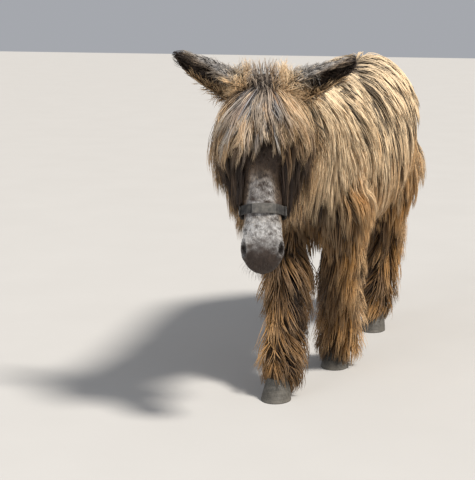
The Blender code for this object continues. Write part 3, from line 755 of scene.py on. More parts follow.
def grow(roots, normals, lengths, heights, lie, steps, lift, droop, stiff, swell):
    """Paths of all locks: an array of (lock, step, coordinate). The lie is a function of places and
    normals that gives the way the coat is combed there, and the swell says how soon it is at its
    full height."""
    spots = [roots]
    heading = unit(unit(along_surface(lie(roots, normals), normals)) + lift * normals)
    step = (lengths / steps)[:, None]
    for number in range(1, steps + 1):
        share = number / steps
        trial = spots[-1] + heading * step
        under, normal = surface_under(trial)
        height = dots(trial - under, normal)
        wanted = heights * math.sin(min(swell * share, 1) * math.pi / 2)
        held = fade(normal[:, 2], -0.25, 0.25)  # nothing holds a lock up where the body turns under
        surplus = np.maximum(height - heights * TOO_HIGH, 0) * held * PRESSED
        trial = trial + normal * (np.maximum(wanted - height, 0) - surplus)[:, None]
        spots.append(trial)
        weight = np.tile((0.0, 0.0, -1.0), (len(trial), 1))
        weight -= normal * (dots(weight, normal) * held * (height < heights * RESTING))[:, None]
        combed = unit(along_surface(lie(trial, normal), normal))
        heading = unit(unit(trial - spots[-2]) * stiff + combed + weight * droop * (0.5 + share))
    return np.stack(spots, axis=1)


print("the skin under a point over the back:", surface_under(np.array([[0.0, 0.0, 1.5]]))[0].round(3))

# %% [markdown]
# ## How locks gather
# Locks that stand near each other lean together into strands, as greasy or wet hair does. Each
# strand follows its leader and swings in a wave of its own. At last the kinks are smoothed, and a
# lock that would fly off or bend like a wire is drawn in.

# %% Gathering
STRAY_BEND = 0.35  # the cosine of the sharpest bend that is left
DRAWN_IN = 0.2


def strands(roots, size, squeeze, rng):
    """The leaders of the strands, which strand each lock belongs to, and how far out in it the lock
    stands, from 0 at the leader to 1 at the edge. The size is locks per strand, and the squeeze
    stretches space, so that strands come out narrow across the lie."""
    count = max(len(roots) // size, 1)
    leaders = rng.choice(len(roots), size=count, replace=False)
    stretched = (roots * np.array(squeeze)).tolist()
    tree = KDTree(count)
    for number, leader in enumerate(leaders.tolist()):
        tree.insert(stretched[leader], number)
    tree.balance()
    member, far = (np.array(column) for column in zip(*(tree.find(place)[1:] for place in stretched)))
    return leaders, member, np.clip(far / np.percentile(far, 85), 0, 1)


def gathered(paths, leaders, member, pull):
    """Draws each lock towards its strand's leader, more and more to the tip."""
    shares = np.linspace(0, 1, paths.shape[1]) ** 1.1
    return paths + (paths[leaders][member] - paths) * pull[:, None, None] * shares[None, :, None]


def waved(paths, reach, turns, phases):
    """Bends the locks sideways in a wave that widens to the tip."""
    shares = np.linspace(0, 1, paths.shape[1])
    forward = unit(np.gradient(paths, axis=1))
    side = unit(np.cross(forward, np.array((0.31, 0.22, 0.93))))
    other = np.cross(forward, side)
    angle = 2 * math.pi * (turns[:, None] * shares[None, :] + phases[:, None])
    widening = reach[:, None] * shares[None, :]
    return (paths + side * (np.sin(angle) * widening)[:, :, None]
            + other * (np.cos(angle) * widening * 0.6)[:, :, None])


def settled(paths, crest, leash):
    """Takes the kinks out of the paths, lays down what stands higher than the crest over the back,
    and draws in the locks that still bend sharply or end farther from the skin than the leash."""
    paths[:, 1:-1] = (paths[:, :-2] + 2 * paths[:, 1:-1] + paths[:, 2:]) / 4
    for number in range(1, paths.shape[1] if crest else 0):
        under, normals = surface_under(paths[:, number])
        over = np.maximum(dots(paths[:, number] - under, normals) - crest, 0)
        paths[:, number] -= normals * (over * fade(normals[:, 2], 0.1, 0.6))[:, None]
    ways = unit(np.diff(paths, axis=1))
    astray = dots(ways[:, 1:], ways[:, :-1]).min(axis=1) < STRAY_BEND
    if leash:
        ends = [np.linalg.norm(surface_under(paths[:, i])[0] - paths[:, i], axis=1) for i in (-1, -2)]
        astray |= np.max(ends, axis=0) > leash
    paths[astray] = paths[astray][:, :1] + (paths[astray] - paths[astray][:, :1]) * DRAWN_IN
    return paths


trial_path = np.array([[[0, 0, 1.5], [0, 0.1, 1.5], [0, 0.1, 1.4], [0, 0.2, 1.4]]])
print("a kinked path when it has settled:", settled(trial_path, None, None)[0].round(3).tolist())

# %% [markdown]
# ## From paths to solid locks
# Each path becomes a closed three-sided blade, flat to the skin and ridged outside, that narrows to
# a point. Thousands share one mesh, built from arrays. Two attributes go with it: marks, the
# pattern of the coat at the root, and strand, which runs from root to tip and holds the lock's tone
# with its painted shade of depth. The OFBake map gives each lock a small patch of its own at its
# root's place on an unrolled skin.

# %% Solid locks
BAKE_PATCH = 0.003
BLADE = (0.55, 1.0, 0.92, 0.70, 0.42)  # width along a lock, root to last ring
RIDGE = 0.45  # how high the ridge stands, as a share of the width


def blade_faces(rings):
    """The faces of one lock: three quads between each two rings, three triangles to the tip and
    one over the root."""
    turns = [(corner, (corner + 1) % 3) for corner in range(3)]
    quads = [(3 * ring + a, 3 * ring + b, 3 * ring + 3 + b, 3 * ring + 3 + a)
             for ring in range(rings - 1) for a, b in turns]
    tips = [(3 * rings - 3 + a, 3 * rings - 3 + b, 3 * rings) for a, b in turns]
    return quads, tips + [(2, 1, 0)]


def lock_mesh(name, paths, widths, outward, marks, tones_and_shade, unrolled):
    """One piece of all the locks: a ring of three corners at each step, and one at the tip."""
    locks, rings = paths.shape[0], paths.shape[1] - 1
    shares = np.linspace(0, 1, rings + 1)
    forward = unit(np.gradient(paths, axis=1))
    side = unit(np.cross(forward, outward[:, None, :]))[:, :rings]
    ridge = np.cross(side, forward[:, :rings])
    wide = (widths[:, None] * np.interp(shares[:rings], np.linspace(0, 1, len(BLADE)), BLADE))[:, :, None]
    middle = paths[:, :rings]
    half = side * wide / 2
    corners = np.stack([middle - half, middle + half, middle + ridge * wide * RIDGE], axis=2)
    places = np.concatenate([corners.reshape(locks, -1, 3), paths[:, rings:]], axis=1).reshape(-1, 3)
    per_lock = rings * 3 + 1
    first = (np.arange(locks) * per_lock)[:, None, None]
    quads, tips = ((np.array(faces)[None] + first).reshape(-1, len(faces[0]))
                   for faces in blade_faces(rings))
    mesh = bpy.data.meshes.new(name)
    mesh.vertices.add(len(places))
    mesh.vertices.foreach_set("co", places.astype(np.float32).ravel())
    loops = np.concatenate([quads.ravel(), tips.ravel()])
    mesh.loops.add(len(loops))
    mesh.loops.foreach_set("vertex_index", loops.astype(np.int32))
    mesh.polygons.add(len(quads) + len(tips))
    starts = np.concatenate([np.arange(len(quads)) * 4, quads.size + np.arange(len(tips)) * 3])
    mesh.polygons.foreach_set("loop_start", starts.astype(np.int32))
    mesh.update(calc_edges=True)
    mesh.shade_smooth()
    along = np.append(np.repeat(shares[:rings], 3), 1.0)
    across = np.append(np.tile((-1.0, 1.0, 0.0), rings), 0.0)
    store(mesh, "strand", np.tile(along, locks), np.repeat(tones_and_shade, per_lock))
    store(mesh, "marks", *np.repeat(marks, per_lock, axis=0).T)
    flat = unrolled[:, None, :] + BAKE_PATCH / 2 * np.stack([across, 2 * along - 1], axis=1)[None]
    layer = mesh.uv_layers.new(name="OFBake")
    layer.data.foreach_set("uv", flat.reshape(-1, 2)[loops].astype(np.float32).ravel())
    return linked(name, mesh)


def unrolled_on(points, origin, axis, front, low, high, column=0, columns=1):
    """Places on a cylinder rolled flat: once round is a column's width, and low to high its height."""
    axis, front = Vector(axis).normalized(), Vector(front)
    front = (front - axis * front.dot(axis)).normalized()
    side = axis.cross(front)
    away = points - np.array(origin)
    turn = np.arctan2(away @ np.array(side), away @ np.array(front)) / (2 * math.pi) + 0.5
    level = (away @ np.array(axis) - low) / (high - low)
    margin = 2 * BAKE_PATCH
    flat = np.stack([turn, level], axis=1) * (1 - 2 * margin) + margin
    flat[:, 0] = (flat[:, 0] + column) / columns
    return np.clip(flat, margin, 1 - margin)


print("a lock of 5 steps has", len(sum(blade_faces(5), [])), "faces")

# %% [markdown]
# ## The pattern of the coat
# The sun has bleached the long hair on the back to cream, and it turns golden towards the hem.
# Chest, face and the inner sides of the legs stay nearly black, the muzzle is pale. The pattern is
# stored as three shares per point (pale, grey, dark), once on the skin and once on the hair, so the
# two always agree.

# %% Pattern
def clustered(points, size, seed):
    """A soft random value from 0 to 1 that changes over about the given size."""
    rng = np.random.default_rng(seed)
    waves = rng.normal(size=(7, 3))
    waves *= (2 * math.pi / size / np.linalg.norm(waves, axis=1) * rng.uniform(0.6, 1.4, 7))[:, None]
    return np.sin(points @ waves.T + rng.uniform(0, 2 * math.pi, 7)).mean(axis=1) * 1.1 + 0.5


def points_to_nostrils(faced):
    """How far points, told in the head's axes, are from the nearer nostril."""
    return np.linalg.norm(np.abs(faced) * (1, 0, 0) + faced * (0, 1, 1) - np.array(NOSTRIL), axis=1)


def ear_share(points, side):
    """How far along an ear points are, as a share of the ear's length."""
    return (points - np.array(EAR_ROOTS[side])) @ np.array(EAR_AIMS[side]) / EAR_LENGTH


def pattern(points, words):
    own, faced = standing(points), in_axes(HEAD, points)
    x, y, z = own.T
    across, out, down = faced.T
    drift, fine_drift = clustered(points, 0.16, 3) - 0.5, clustered(points, 0.03, 4) - 0.5
    pale = fade(z + 0.24 * drift, 0.68, 1.18)
    grey = np.zeros(len(points))
    dark = fade(z, 0.66, 0.58) * 0.3
    # The chest and the throat are dark.
    in_front = fade(y, -0.42, -0.58)
    dark = np.maximum(dark, in_front * fade(z, 0.90, 0.76) * 0.75)
    dark = np.maximum(dark, in_front * fade(z, 1.02, 0.86) * fade(np.abs(x), 0.17, 0.09) * 0.7)
    # The legs are dark in front and inside, golden behind and outside.
    for pair, side in FEET:
        centre = np.array([leg_point(pair, side, height) for height in np.clip(z, HOOF_TOP, BELLY)])
        near = (words == f"{pair}leg") & (np.abs(y - centre[:, 1]) < 0.2) & (x * side > -0.03)
        outer = side * (x - centre[:, 0]) + 0.9 * (y - centre[:, 1])
        dark = np.where(near, 0.72 - 0.69 * fade(outer + 0.07 * drift, -0.045, 0.02), dark)
        dark = np.where(near, np.maximum(dark, fade(z, 0.16, 0.12) * 0.6), dark)
        pale = np.where(near, 0.40 * fade(outer, 0.0, 0.06), pale)
    # The face is nearly black, with a mottled nose, a pale muzzle and dark lips and nostrils.
    head = words == "head"
    muzzle = fade(down + 0.015 * drift, 0.480, 0.530)
    mottled = muzzle * (0.84 + 0.7 * fine_drift)
    side_edge = fade(np.abs(across), 0.045, 0.062) * fade(down, 0.50, 0.56)
    lips = fade(down + 0.03 * fine_drift - 0.025 * side_edge, 0.550, 0.645)
    wing = hump(points_to_nostrils(faced), 0, 0.029)
    half_nose = 0.036 + 0.14 * (down - 0.29)
    nose = fade(np.abs(across) - half_nose + 0.02 * drift, 0.013, -0.013) * fade(down, 0.28, 0.39)
    nose *= fade(out, -0.07, -0.03)
    # Below the ears' roots the golden crown is taken off: partly dark hair, partly the painted shadow of the
    # ears.
    crown = fade(down, 0.20, 0.08) * (1 - 0.85 * fade(np.abs(across), 0.07, 0.10) * fade(down, 0.03, 0.07))
    middle = fade(np.abs(across + 0.01), 0.055, 0.025)
    jaw = fade(out, -0.035, -0.085) * fade(down, 0.46, 0.38)
    face_grey = np.maximum.reduce([0.95 * nose, muzzle, crown * (0.10 + 0.62 * middle)])
    face_dark = 0.97 - 0.95 * mottled - (0.45 + fine_drift) * nose**2 - 0.80 * crown
    face_dark = np.maximum.reduce([face_dark, lips, 0.9 * wing]) - 0.72 * jaw
    grey = np.where(head, face_grey, grey)
    dark = np.where(head, face_dark, dark)
    pale = np.where(head, 0.45 * crown + 0.9 * muzzle + 0.3 * jaw + 0.75 * nose, pale)
    # The ears are grey above and black below, with golden roots and black tips. The grey above and
    # black below are partly the ears' own colours, partly painted light on the upper side and painted
    # shade on the lower side.
    for side, word in SIDE_NAMES.items():
        on_ear = words == f"ear_{word}"
        share = ear_share(points, side)
        higher = (points - np.array(EAR_ROOTS[side]))[:, 2] - share * EAR_LENGTH * EAR_AIMS[side].z
        rim, base, tip = fade(higher, 0.012, 0.040), fade(share, 0.30, 0.10), fade(share, 0.80, 0.92)
        grey = np.where(on_ear, np.clip(0.95 * rim * (1 - tip) * (1 - base), 0, 1), grey)
        dark = np.where(on_ear, np.clip(0.95 - 0.75 * rim - 0.70 * base + 0.5 * tip, 0, 1), dark)
        dark = np.where(on_ear & (higher < -0.030), 0.25, dark)
        pale = np.where(on_ear, 0.35 + 0.5 * rim, pale)
    return np.clip(np.stack([pale, grey, dark], axis=1), 0, 1)


withers = np.array([SHIFT + Vector((0, -0.3, 1.3))])
print("pale, grey and dark at the withers:", pattern(withers, region_of(withers)).round(2))

# %% [markdown]
# ## The coat
# Every part of the coat is grown with its own length, slant, weight and curl: long cords on the
# back and flanks, curls on the legs, a mop that falls from the poll over the eyes, fuzz on the ears
# and a few millimetres of nap on the face. A lock that lies high in the coat is narrow and light.
# The ones under it are wide, fill the coat and are painted dark, as shade deep in the coat. First
# come the ways in which the coat is combed. Each function takes places on the skin and the ways out
# there.

# %% Ways the coat lies
FUZZ_WAYS = ((310, 90, 40), (-70, 260, 120), (90, -60, 280))  # how fast the lean of the wool turns


def lies(points, *ways):
    """One way per point, from three numbers or arrays."""
    return np.stack([np.broadcast_to(way, len(points)) for way in ways], axis=1).astype(float)


def neck_line(y):
    """The middle line of trunk and neck, which bends a little to the right."""
    return np.interp(y, (-0.96, -0.84, -0.68, -0.48), (-0.045, -0.038, -0.02, 0.0))


def lie_of_body(points, normals):
    """Down both sides from the back, and backwards along the spine."""
    x, y, _ = standing(points).T
    off_middle = x - neck_line(y)
    spine = hump(off_middle, 0, 0.045) * fade(normals[:, 2], 0.2, 0.7)
    aside = np.tanh(off_middle / 0.035) * fade(normals[:, 2], -0.2, 0.4)
    return lies(points, aside, 0.24 * fade(y, -0.75, -0.3) + 0.9 * spine, -0.8)


def lie_of_leg(points, normals):
    """Down the leg, a little backwards and towards the other leg."""
    return lies(points, -0.32 * np.tanh(standing(points)[:, 0] / 0.02), 0.22, -1)


def lie_of_tail(points, normals):
    return lies(points, 0, 0.25, -1)


def lie_of_head(points, normals):
    """Down the face and away from its middle."""
    across = in_axes(HEAD, points)[:, 0]
    return lies(points, 0.35 * np.tanh(across / 0.05), -0.25, 1) @ np.array(HEAD.to_3x3()).T


def lie_of_mop(points, normals):
    """The forelock fans out from the crown, wider on the right."""
    across, _, down = in_axes(HEAD, points).T
    fan = lies(points, across * np.where(across < 0, 1.6, 0.85), 0, np.maximum(down, 0.05) + 0.05)
    return unit(fan) @ np.array(HEAD.to_3x3()).T


def lie_of_ears(points, normals):
    """Out to the ear's tip."""
    on_left = in_axes(HEAD, points)[:, :1] > 0
    return np.where(on_left, np.array(EAR_AIMS[LEFT]), np.array(EAR_AIMS[RIGHT])) + np.array((0, 0, -0.15))


def lie_of_fuzz(points, normals):
    """The short wool on the crown stands up and leans every way."""
    return lies(points, *(np.sin(points @ np.array(way)) for way in FUZZ_WAYS)) + np.array((0, 0, 0.4))


print("at the withers the coat lies", lie_of_body(withers, np.array([UP])).round(2))

# %% [markdown]
# ## One region's coat
# A region's recipe is its number of locks, where they stand, how they lie, and their length and
# width. The rest has usual values: how they rise and fall, wave and gather. Locks in deep layers
# and at a strand's edge are darker: painted shade of the coat's depth and of the gaps between
# strands, which is what makes strands read from afar.

# %% Growth of one region
ROOT_DEPTH, FLOOR_GAP, LEAST_HEIGHT = 0.0015, 0.006, 0.003
# A lock's tone: deep layers and strand edges give painted shade; chance, strand and patch give its own
# random tone.
TONE_AND_DEPTH_SHADE = {"layer": 0.30, "chance": 0.15, "strand": 0.17, "edge": 0.38, "patch": 0.3}
triangles_so_far = 0
coat_pieces = []


def region_coat(seed, count, weights, lie, length, width, rise=(0.3, 1.0), steps=5, lift=0.5, droop=0.5,
                stiff=1.0, wave=0.03, turns=0.8, strand=14, pull=(0.35, 0.75), squeeze=(1, 1, 1),
                deepest=0.07, tips=None, shade=(0.0, 1.0), motley=0.13, ragged=0.12, leash=None,
                crest=None, swell=1.5):
    """Grows one region's locks and returns what lock_mesh needs, as a dictionary."""
    rng = np.random.default_rng(seed)
    roots, normals = roots_on(weights, count, rng)
    leaders, member, edge = strands(roots, max(strand, 2), squeeze, rng)
    layer = rng.random(count)
    lengths = rng.uniform(*length, count) * rng.uniform(1 - ragged, 1 + ragged, len(leaders))[member]
    if tips:
        lengths = lengths * tips(roots)
    heights = np.clip(coat_depths(roots, normals), LEAST_HEIGHT, deepest)
    heights *= (rise[0] + (rise[1] - rise[0]) * layer) * (1 + 0.3 * fade(normals[:, 2], 0.4, 0.9))
    paths = grow(roots - normals * ROOT_DEPTH, normals, lengths, heights, lie, steps, lift, droop,
                 stiff, swell)
    amount = wave * rng.uniform(0.4, 1.4, count)
    paths = gathered(paths, leaders, member, rng.uniform(*pull, count))
    paths = waved(paths, lengths * amount, turns * rng.uniform(0.7, 1.3, len(leaders))[member],
                  rng.random(len(leaders))[member] + 0.22 * rng.random(count))
    paths[:, :, 2] = np.maximum(paths[:, :, 2], FLOOR_GAP)
    paths = settled(paths, crest, leash)
    widths = (width[1] + (width[0] - width[1]) * layer) * 1
    own_shade = rng.random(len(leaders))[member]
    # Painted shade: deep locks and locks at a strand's edge get a darker tone.
    tone_and_shade = TONE_AND_DEPTH_SHADE["layer"] * layer + TONE_AND_DEPTH_SHADE["chance"] * rng.random(count) + TONE_AND_DEPTH_SHADE["strand"] * own_shade
    tone_and_shade += TONE_AND_DEPTH_SHADE["edge"] * (1 - edge) + TONE_AND_DEPTH_SHADE["patch"] * (clustered(roots, 0.07, seed) - 0.5)
    marks = pattern(roots, region_of(roots))
    marks += rng.normal(0, motley, (len(leaders), 3))[member] * (0.25 + np.minimum(marks, 1 - marks))
    return {
        "paths": paths, "widths": widths * rng.uniform(0.75, 1.2, count), "outward": normals,
        "marks": np.clip(marks, 0, 1), "tones_and_shade": shade[0] + (shade[1] - shade[0]) * tone_and_shade, "roots": roots,
    }


def add_coat(name, unrolled, *growths):
    """Makes one piece of the coat from growths of as many steps each."""
    global triangles_so_far
    whole = {key: np.concatenate([growth[key] for growth in growths]) for key in growths[0]}
    coat_pieces.append(lock_mesh(name, whole["paths"], whole["widths"], whole["outward"], whole["marks"],
                                 whole["tones_and_shade"], unrolled(whole["roots"])))
    triangles = len(whole["paths"]) * (6 * (whole["paths"].shape[1] - 1) - 2)
    triangles_so_far += triangles
    print(f"{name}: {len(whole['paths'])} locks, {triangles} triangles, {triangles_so_far} so far")


def weight_where(*words):
    return np.isin(face_regions, words).astype(float)


def down_face(points):
    return in_axes(HEAD, points)[:, 2]


own_centres = standing(face_centres)
head_centres = in_axes(HEAD, face_centres)
print("faces on the legs:", int(weight_where("foreleg", "hindleg").sum()))

# %% [markdown]
# ## The long coat
# Trunk and neck have short wide dark locks underneath, painted shade that closes the gaps, and long
# cords over them.
# The squeeze along Y makes the strands hang in narrow ropes. The map of each piece is unrolled
# round the body's length.

# %% Trunk and neck
# The locks underneath are kept nearly black: painted shade deep in the coat.
UNDERCOAT = {"rise": (0.15, 0.5), "strand": 12, "shade": (0.0, 0.35)}
CORDS = {"turns": 0.7, "shade": (0.14, 1.05), "swell": 1.3}
under_belly = fade(own_centres[:, 2], BELLY, 0.72)
on_left = own_centres[:, 0] > neck_line(own_centres[:, 1])


def unrolled_body(height, first, last):
    middle = Vector((0, 0, height)) + SHIFT
    return lambda roots: unrolled_on(roots, middle, (0, 1, 0), (0, 0, -1), first, last)


for side, word in SIDE_NAMES.items():
    of_side = on_left if side == LEFT else ~on_left
    flank = weight_where("trunk") * of_side * (0.35 + 0.65 * under_belly)
    add_coat(
        f"coat_trunk_{word}", unrolled_body(0.98, -0.62, 0.72),
        region_coat(11 + side, 1500, flank, lie_of_body, (0.11, 0.16), (0.009, 0.013), **UNDERCOAT,
                    squeeze=(1, 1.8, 1)),
        region_coat(15 + side, 4500, flank, lie_of_body, (0.17, 0.26), (0.0034, 0.0062), **CORDS,
                    rise=(0.5, 1.2), wave=0.022, strand=9, lift=0.4, pull=(0.62, 0.95),
                    squeeze=(1, 1.9, 1), deepest=0.06, leash=0.20, crest=0.034))
    of_neck = weight_where("neck") * of_side
    add_coat(
        f"coat_neck_{word}", unrolled_body(1.0, -1.05, -0.30),
        region_coat(21 + side, 1300, of_neck, lie_of_body, (0.10, 0.16), (0.008, 0.012), **UNDERCOAT,
                    squeeze=(1, 1.6, 1)),
        region_coat(25 + side, 3400, of_neck, lie_of_body, (0.17, 0.27), (0.0032, 0.006), **CORDS,
                    rise=(0.45, 1.15), wave=0.025, strand=8, lift=0.35, droop=0.8, pull=(0.55, 0.92),
                    squeeze=(1, 1.7, 1), deepest=0.055, leash=0.13, crest=0.032,
                    tips=lambda roots: 1 - 0.30 * fade(roots[:, 2], 0.98, 0.76)))

# %% [markdown]
# ## Legs and tail
# The hair on the legs stands out like feathers and ends in a fringe over the hooves, where it is
# thickest. Each pair of legs is one piece, and its map holds the two legs side by side.

# %% Legs and tail
def unrolled_legs(pair):
    def unrolled(points):
        x, _, z = standing(points).T
        flat = np.zeros((len(points), 2))
        for column, side in enumerate((LEFT, RIGHT)):
            picked = x * side > 0 if pair == "fore" else x * side > -0.01
            line = np.array([leg_point(pair, side, height) for height in z])
            about = standing(points) - line * (1, 1, 0)
            rolled = unrolled_on(about, (0, 0, 0), UP, AHEAD, 0.05, 0.70, column, 2)
            flat = np.where(picked[:, None], rolled, flat)
        return flat
    return unrolled


over_hooves = fade(own_centres[:, 2], 0.084, 0.092) * (1 + fade(own_centres[:, 2], 0.17, 0.11))
for pair, count in (("fore", 6500), ("hind", 4700)):
    add_coat(
        f"coat_{pair}legs", unrolled_legs(pair),
        region_coat(31 + count, count, weight_where(f"{pair}leg") * over_hooves, lie_of_leg, (0.13, 0.25),
                    (0.0026, 0.0058), wave=0.075, strand=12, droop=0.65, rise=(0.4, 1.7),
                    pull=(0.4, 0.92), squeeze=(2.0, 2.0, 1), shade=(0.0, 1.3), swell=1.1, leash=0.105,
                    tips=lambda roots: 1 - 0.55 * fade(roots[:, 2], 0.24, 0.10)))
add_coat(
    "coat_tail", lambda roots: unrolled_on(roots, Vector((0.01, 0.75, 0)) + SHIFT, UP, AHEAD, 0.8, 1.3),
    region_coat(41, 2200, weight_where("tail"), lie_of_tail, (0.16, 0.48), (0.004, 0.007),
                wave=0.04, strand=12, droop=0.9, leash=0.34))

# %% [markdown]
# ## Forelock and cheeks
# The forelock grows from the crown and fans out down the face to a ragged line. Stiff headings
# carry it over the brow, and it hides the eyes. The cheeks hang in long locks below it.

# %% Forelock and cheeks
HEAD_AXIS = HEAD.to_3x3() @ UP
HEAD_FRONT = HEAD.to_3x3() @ AHEAD
HEAD_MIDDLE = HEAD @ Vector((0, -0.09, 0))
EYE_CENTRES = np.array([on_side(side, EYE_SPOT) for side in (LEFT, RIGHT)])
CORNEAS = np.array([on_side(side, EYE_SPOT + EYE_AIM * EYE_RADIUS) for side in (LEFT, RIGHT)])


def unrolled_head(points):
    return unrolled_on(points, HEAD_MIDDLE, HEAD_AXIS, HEAD_FRONT, -0.10, 0.72)


def nearest(points, spots):
    """How far each point is from the nearer of two spots."""
    return np.linalg.norm(points[:, None] - spots, axis=2).min(axis=1)


def mop_reach(points):
    """The mop ends at a ragged line down the face, higher in the middle and on the left."""
    across, _, down = in_axes(HEAD, points).T
    line = 0.225 + 0.095 * fade(across, 0.0, -0.03) + 0.050 * fade(across, 0.008, 0.03)
    return np.maximum(line - 0.045 * fade(across, -0.05, -0.08) - down, 0.06)


across, out, down = head_centres.T
of_head = weight_where("head")
to_eye, to_cornea = nearest(head_centres, EYE_CENTRES), nearest(head_centres, CORNEAS)
mop = of_head * fade(down, 0.17, 0.11) * fade(down, 0.0, 0.03) * fade(out, -0.06, -0.03)
mop *= fade(np.abs(across), 0.095, 0.06)
add_coat(
    "coat_forelock", unrolled_head,
    region_coat(51, 3700, mop, lie_of_mop, (0.62, 1.20), (0.0026, 0.0056), steps=8, wave=0.075,
                turns=0.9, strand=22, lift=0.65, droop=0.6, stiff=1.7, rise=(0.2, 1.15),
                pull=(0.5, 0.95), deepest=0.075, squeeze=(1.5, 1, 1), tips=mop_reach, motley=0.4,
                ragged=0.30, leash=0.09, shade=(-0.12, 1.42)))
cheeks = of_head * fade(down, 0.40, 0.30) * fade(down, 0.03, 0.08) * fade(to_eye, 0.034, 0.046)
cheeks *= fade(np.maximum(np.abs(across) - 0.05, -out - 0.05), 0.0, 0.04)
add_coat(
    "coat_cheeks", unrolled_head,
    region_coat(61, 4100, cheeks, lie_of_head, (0.15, 0.26), (0.0028, 0.0056), steps=6,
                wave=0.045, lift=0.6, droop=1.0, rise=(0.3, 1.45), pull=(0.45, 0.9),
                squeeze=(1.5, 1.5, 1), ragged=0.2, leash=0.15, deepest=0.10,
                tips=lambda roots: 1 - 0.50 * fade(down_face(roots), 0.26, 0.39)))

# %% [markdown]
# ## Short hair of the face and ears
# The face has a nap of short flat hairs that gets finer towards the lips, with whiskers on the lips
# and lashes on the lids. Loose wool covers the crown and the ears' roots, and short hair the ears.

# %% Face and ears
off_eyes = (to_eye > 0.0236) * fade(to_cornea, 0.018, 0.024)
off_band = 1 - fade(down, 0.432, 0.440) * fade(down, 0.494, 0.489)
short_haired = of_head * fade(down, 0.14, 0.20) * off_eyes * off_band * (1 - 0.8 * fade(down, 0.60, 0.66))
nap = region_coat(71, 6800, short_haired, lie_of_head, (0.009, 0.017), (0.0008, 0.0014), steps=3, wave=0.04,
                  strand=7, lift=0.2, droop=0.1, deepest=0.005, rise=(0.1, 0.7), shade=(1.0, 1.35),
                  motley=0.07, tips=lambda roots: 1 - 0.6 * fade(down_face(roots), 0.40, 0.62))
above_lips = fade(down_face(nap["roots"]), 0.60, 0.56)
nap["marks"][:, 2] *= 1 - 0.5 * nap["marks"][:, 1] * above_lips  # white hairs among the dark ones
lips = of_head * fade(down, 0.64, 0.67)
whiskers = region_coat(72, 90, lips, lie_of_head, (0.022, 0.040), (0.0005, 0.0008), steps=3, wave=0.05,
                       strand=2, pull=(0, 0.1), lift=2.0, stiff=3.0, droop=0.2, deepest=0.03,
                       shade=(0.4, 1.1))
lid_rims = of_head * (to_eye > 0.0236) * (to_cornea > 0.016) * (to_cornea < 0.023)
lashes = region_coat(73, 110, lid_rims, lie_of_head, (0.010, 0.015), (0.0006, 0.0010), steps=3,
                     strand=3, pull=(0, 0.4), lift=1.4, stiff=2.0, droop=0.3, deepest=0.02, shade=(0, 0.3))
add_coat("coat_face", unrolled_head, nap, whiskers, lashes)


def along_ears(points):
    return np.maximum(*(ear_share(points, side) for side in (LEFT, RIGHT)))


def unrolled_ears(points):
    left, right = (unrolled_on(points, EAR_ROOTS[side], EAR_AIMS[side], EAR_FACES[side], -0.04,
                               EAR_LENGTH, column, 2) for column, side in enumerate((LEFT, RIGHT)))
    return np.where(in_axes(HEAD, points)[:, :1] > 0, left, right)


on_ears = weight_where("ear_left", "ear_right")
fuzzy = of_head * fade(down, 0.075, 0.035) + 2.0 * on_ears * fade(along_ears(face_centres), 0.55, 0.20)
add_coat(
    "coat_ears", unrolled_ears,
    region_coat(81, 2700, on_ears, lie_of_ears, (0.022, 0.050), (0.0016, 0.0036), steps=3, wave=0.07,
                strand=8, lift=0.8, droop=0.1, deepest=0.02,
                tips=lambda roots: 1.0 + 0.6 * fade(along_ears(roots), 0.35, 0.05)),
    region_coat(82, 4700, fuzzy, lie_of_fuzz, (0.035, 0.075), (0.0011, 0.0026), steps=3, wave=0.14,
                strand=9, lift=1.3, droop=0.05, stiff=1.6, deepest=0.06, pull=(0.0, 0.6),
                shade=(0.35, 1.2)))

# %% [markdown]
# ## Eyes
# A donkey's eye is large, dark and wet, with a pupil that lies flat. One ball holds it all. A low
# bulge over the iris stands for the cornea, and two attributes tell the shader how far each point
# is from the iris's middle and from the pupil's.

# %% Eyeballs
IRIS_SHARE = 0.62  # the iris's radius as a share of the eyeball's
PUPIL_HIGH, PUPIL_LONG = 0.24, 0.40
CORNEA_BULGE = 0.05


def build_eyeball(side):
    word = SIDE_NAMES[side]
    bm = bmesh.new()
    bmesh.ops.create_uvsphere(bm, u_segments=48, v_segments=32, radius=1)
    round_ball = np.array([v.co[:] for v in bm.verts])
    from_axis = np.linalg.norm(round_ball[:, :2], axis=1)
    front = round_ball[:, 2] > 0
    bulge = CORNEA_BULGE * fade(from_axis, IRIS_SHARE * 1.1, IRIS_SHARE * 0.4) * front
    for vert, share in zip(bm.verts, bulge.tolist()):
        vert.co *= EYE_RADIUS * (1 + share)
    turned = HEAD.to_3x3()
    place = turned_to(middle_of(f"eye_{word}"), turned @ on_side(side, EYE_AIM), turned @ EYE_TILT)
    bmesh.ops.transform(bm, matrix=place, verts=bm.verts[:])
    ball = smooth_shaded(new_piece(f"eyeball_{word}", bm))
    across_pupil = np.hypot(round_ball[:, 0] / PUPIL_HIGH, round_ball[:, 1] / PUPIL_LONG)
    store(ball.data, "eye", np.where(front, from_axis / IRIS_SHARE, 2.0), np.where(front, across_pupil, 3.0))
    return ball


eyeballs = {side: build_eyeball(side) for side in (LEFT, RIGHT)}
print("eyeballs:", [len(ball.data.polygons) for ball in eyeballs.values()])

# %% [markdown]
# ## Hooves
# A donkey's hoof is upright and narrow. The wall is a loft with fine growth rings that runs from
# the hair line down to the ground, with a cleft between the heels and a sole that is set in a
# little behind the wall's edge.

# %% Hooves
HOOF = (0.124, 0.140, 0.088)  # width, length and height
HOOF_FORM = (  # height share, length share, width share, how far back the level lies
    (0.00, 0.985, 0.985, 0.000),
    (0.03, 1.000, 1.000, 0.000),
    (0.35, 0.930, 0.930, 0.010),
    (0.75, 0.800, 0.800, 0.022),
    (1.00, 0.700, 0.720, 0.028),
)
HOOF_LEVELS, HOOF_SIDES = 30, 56
RING_SWELL, RING_TURNS = 0.006, 34  # the growth rings round the wall
HEEL_CLEFT, HEEL_WIDE = 0.13, 0.22


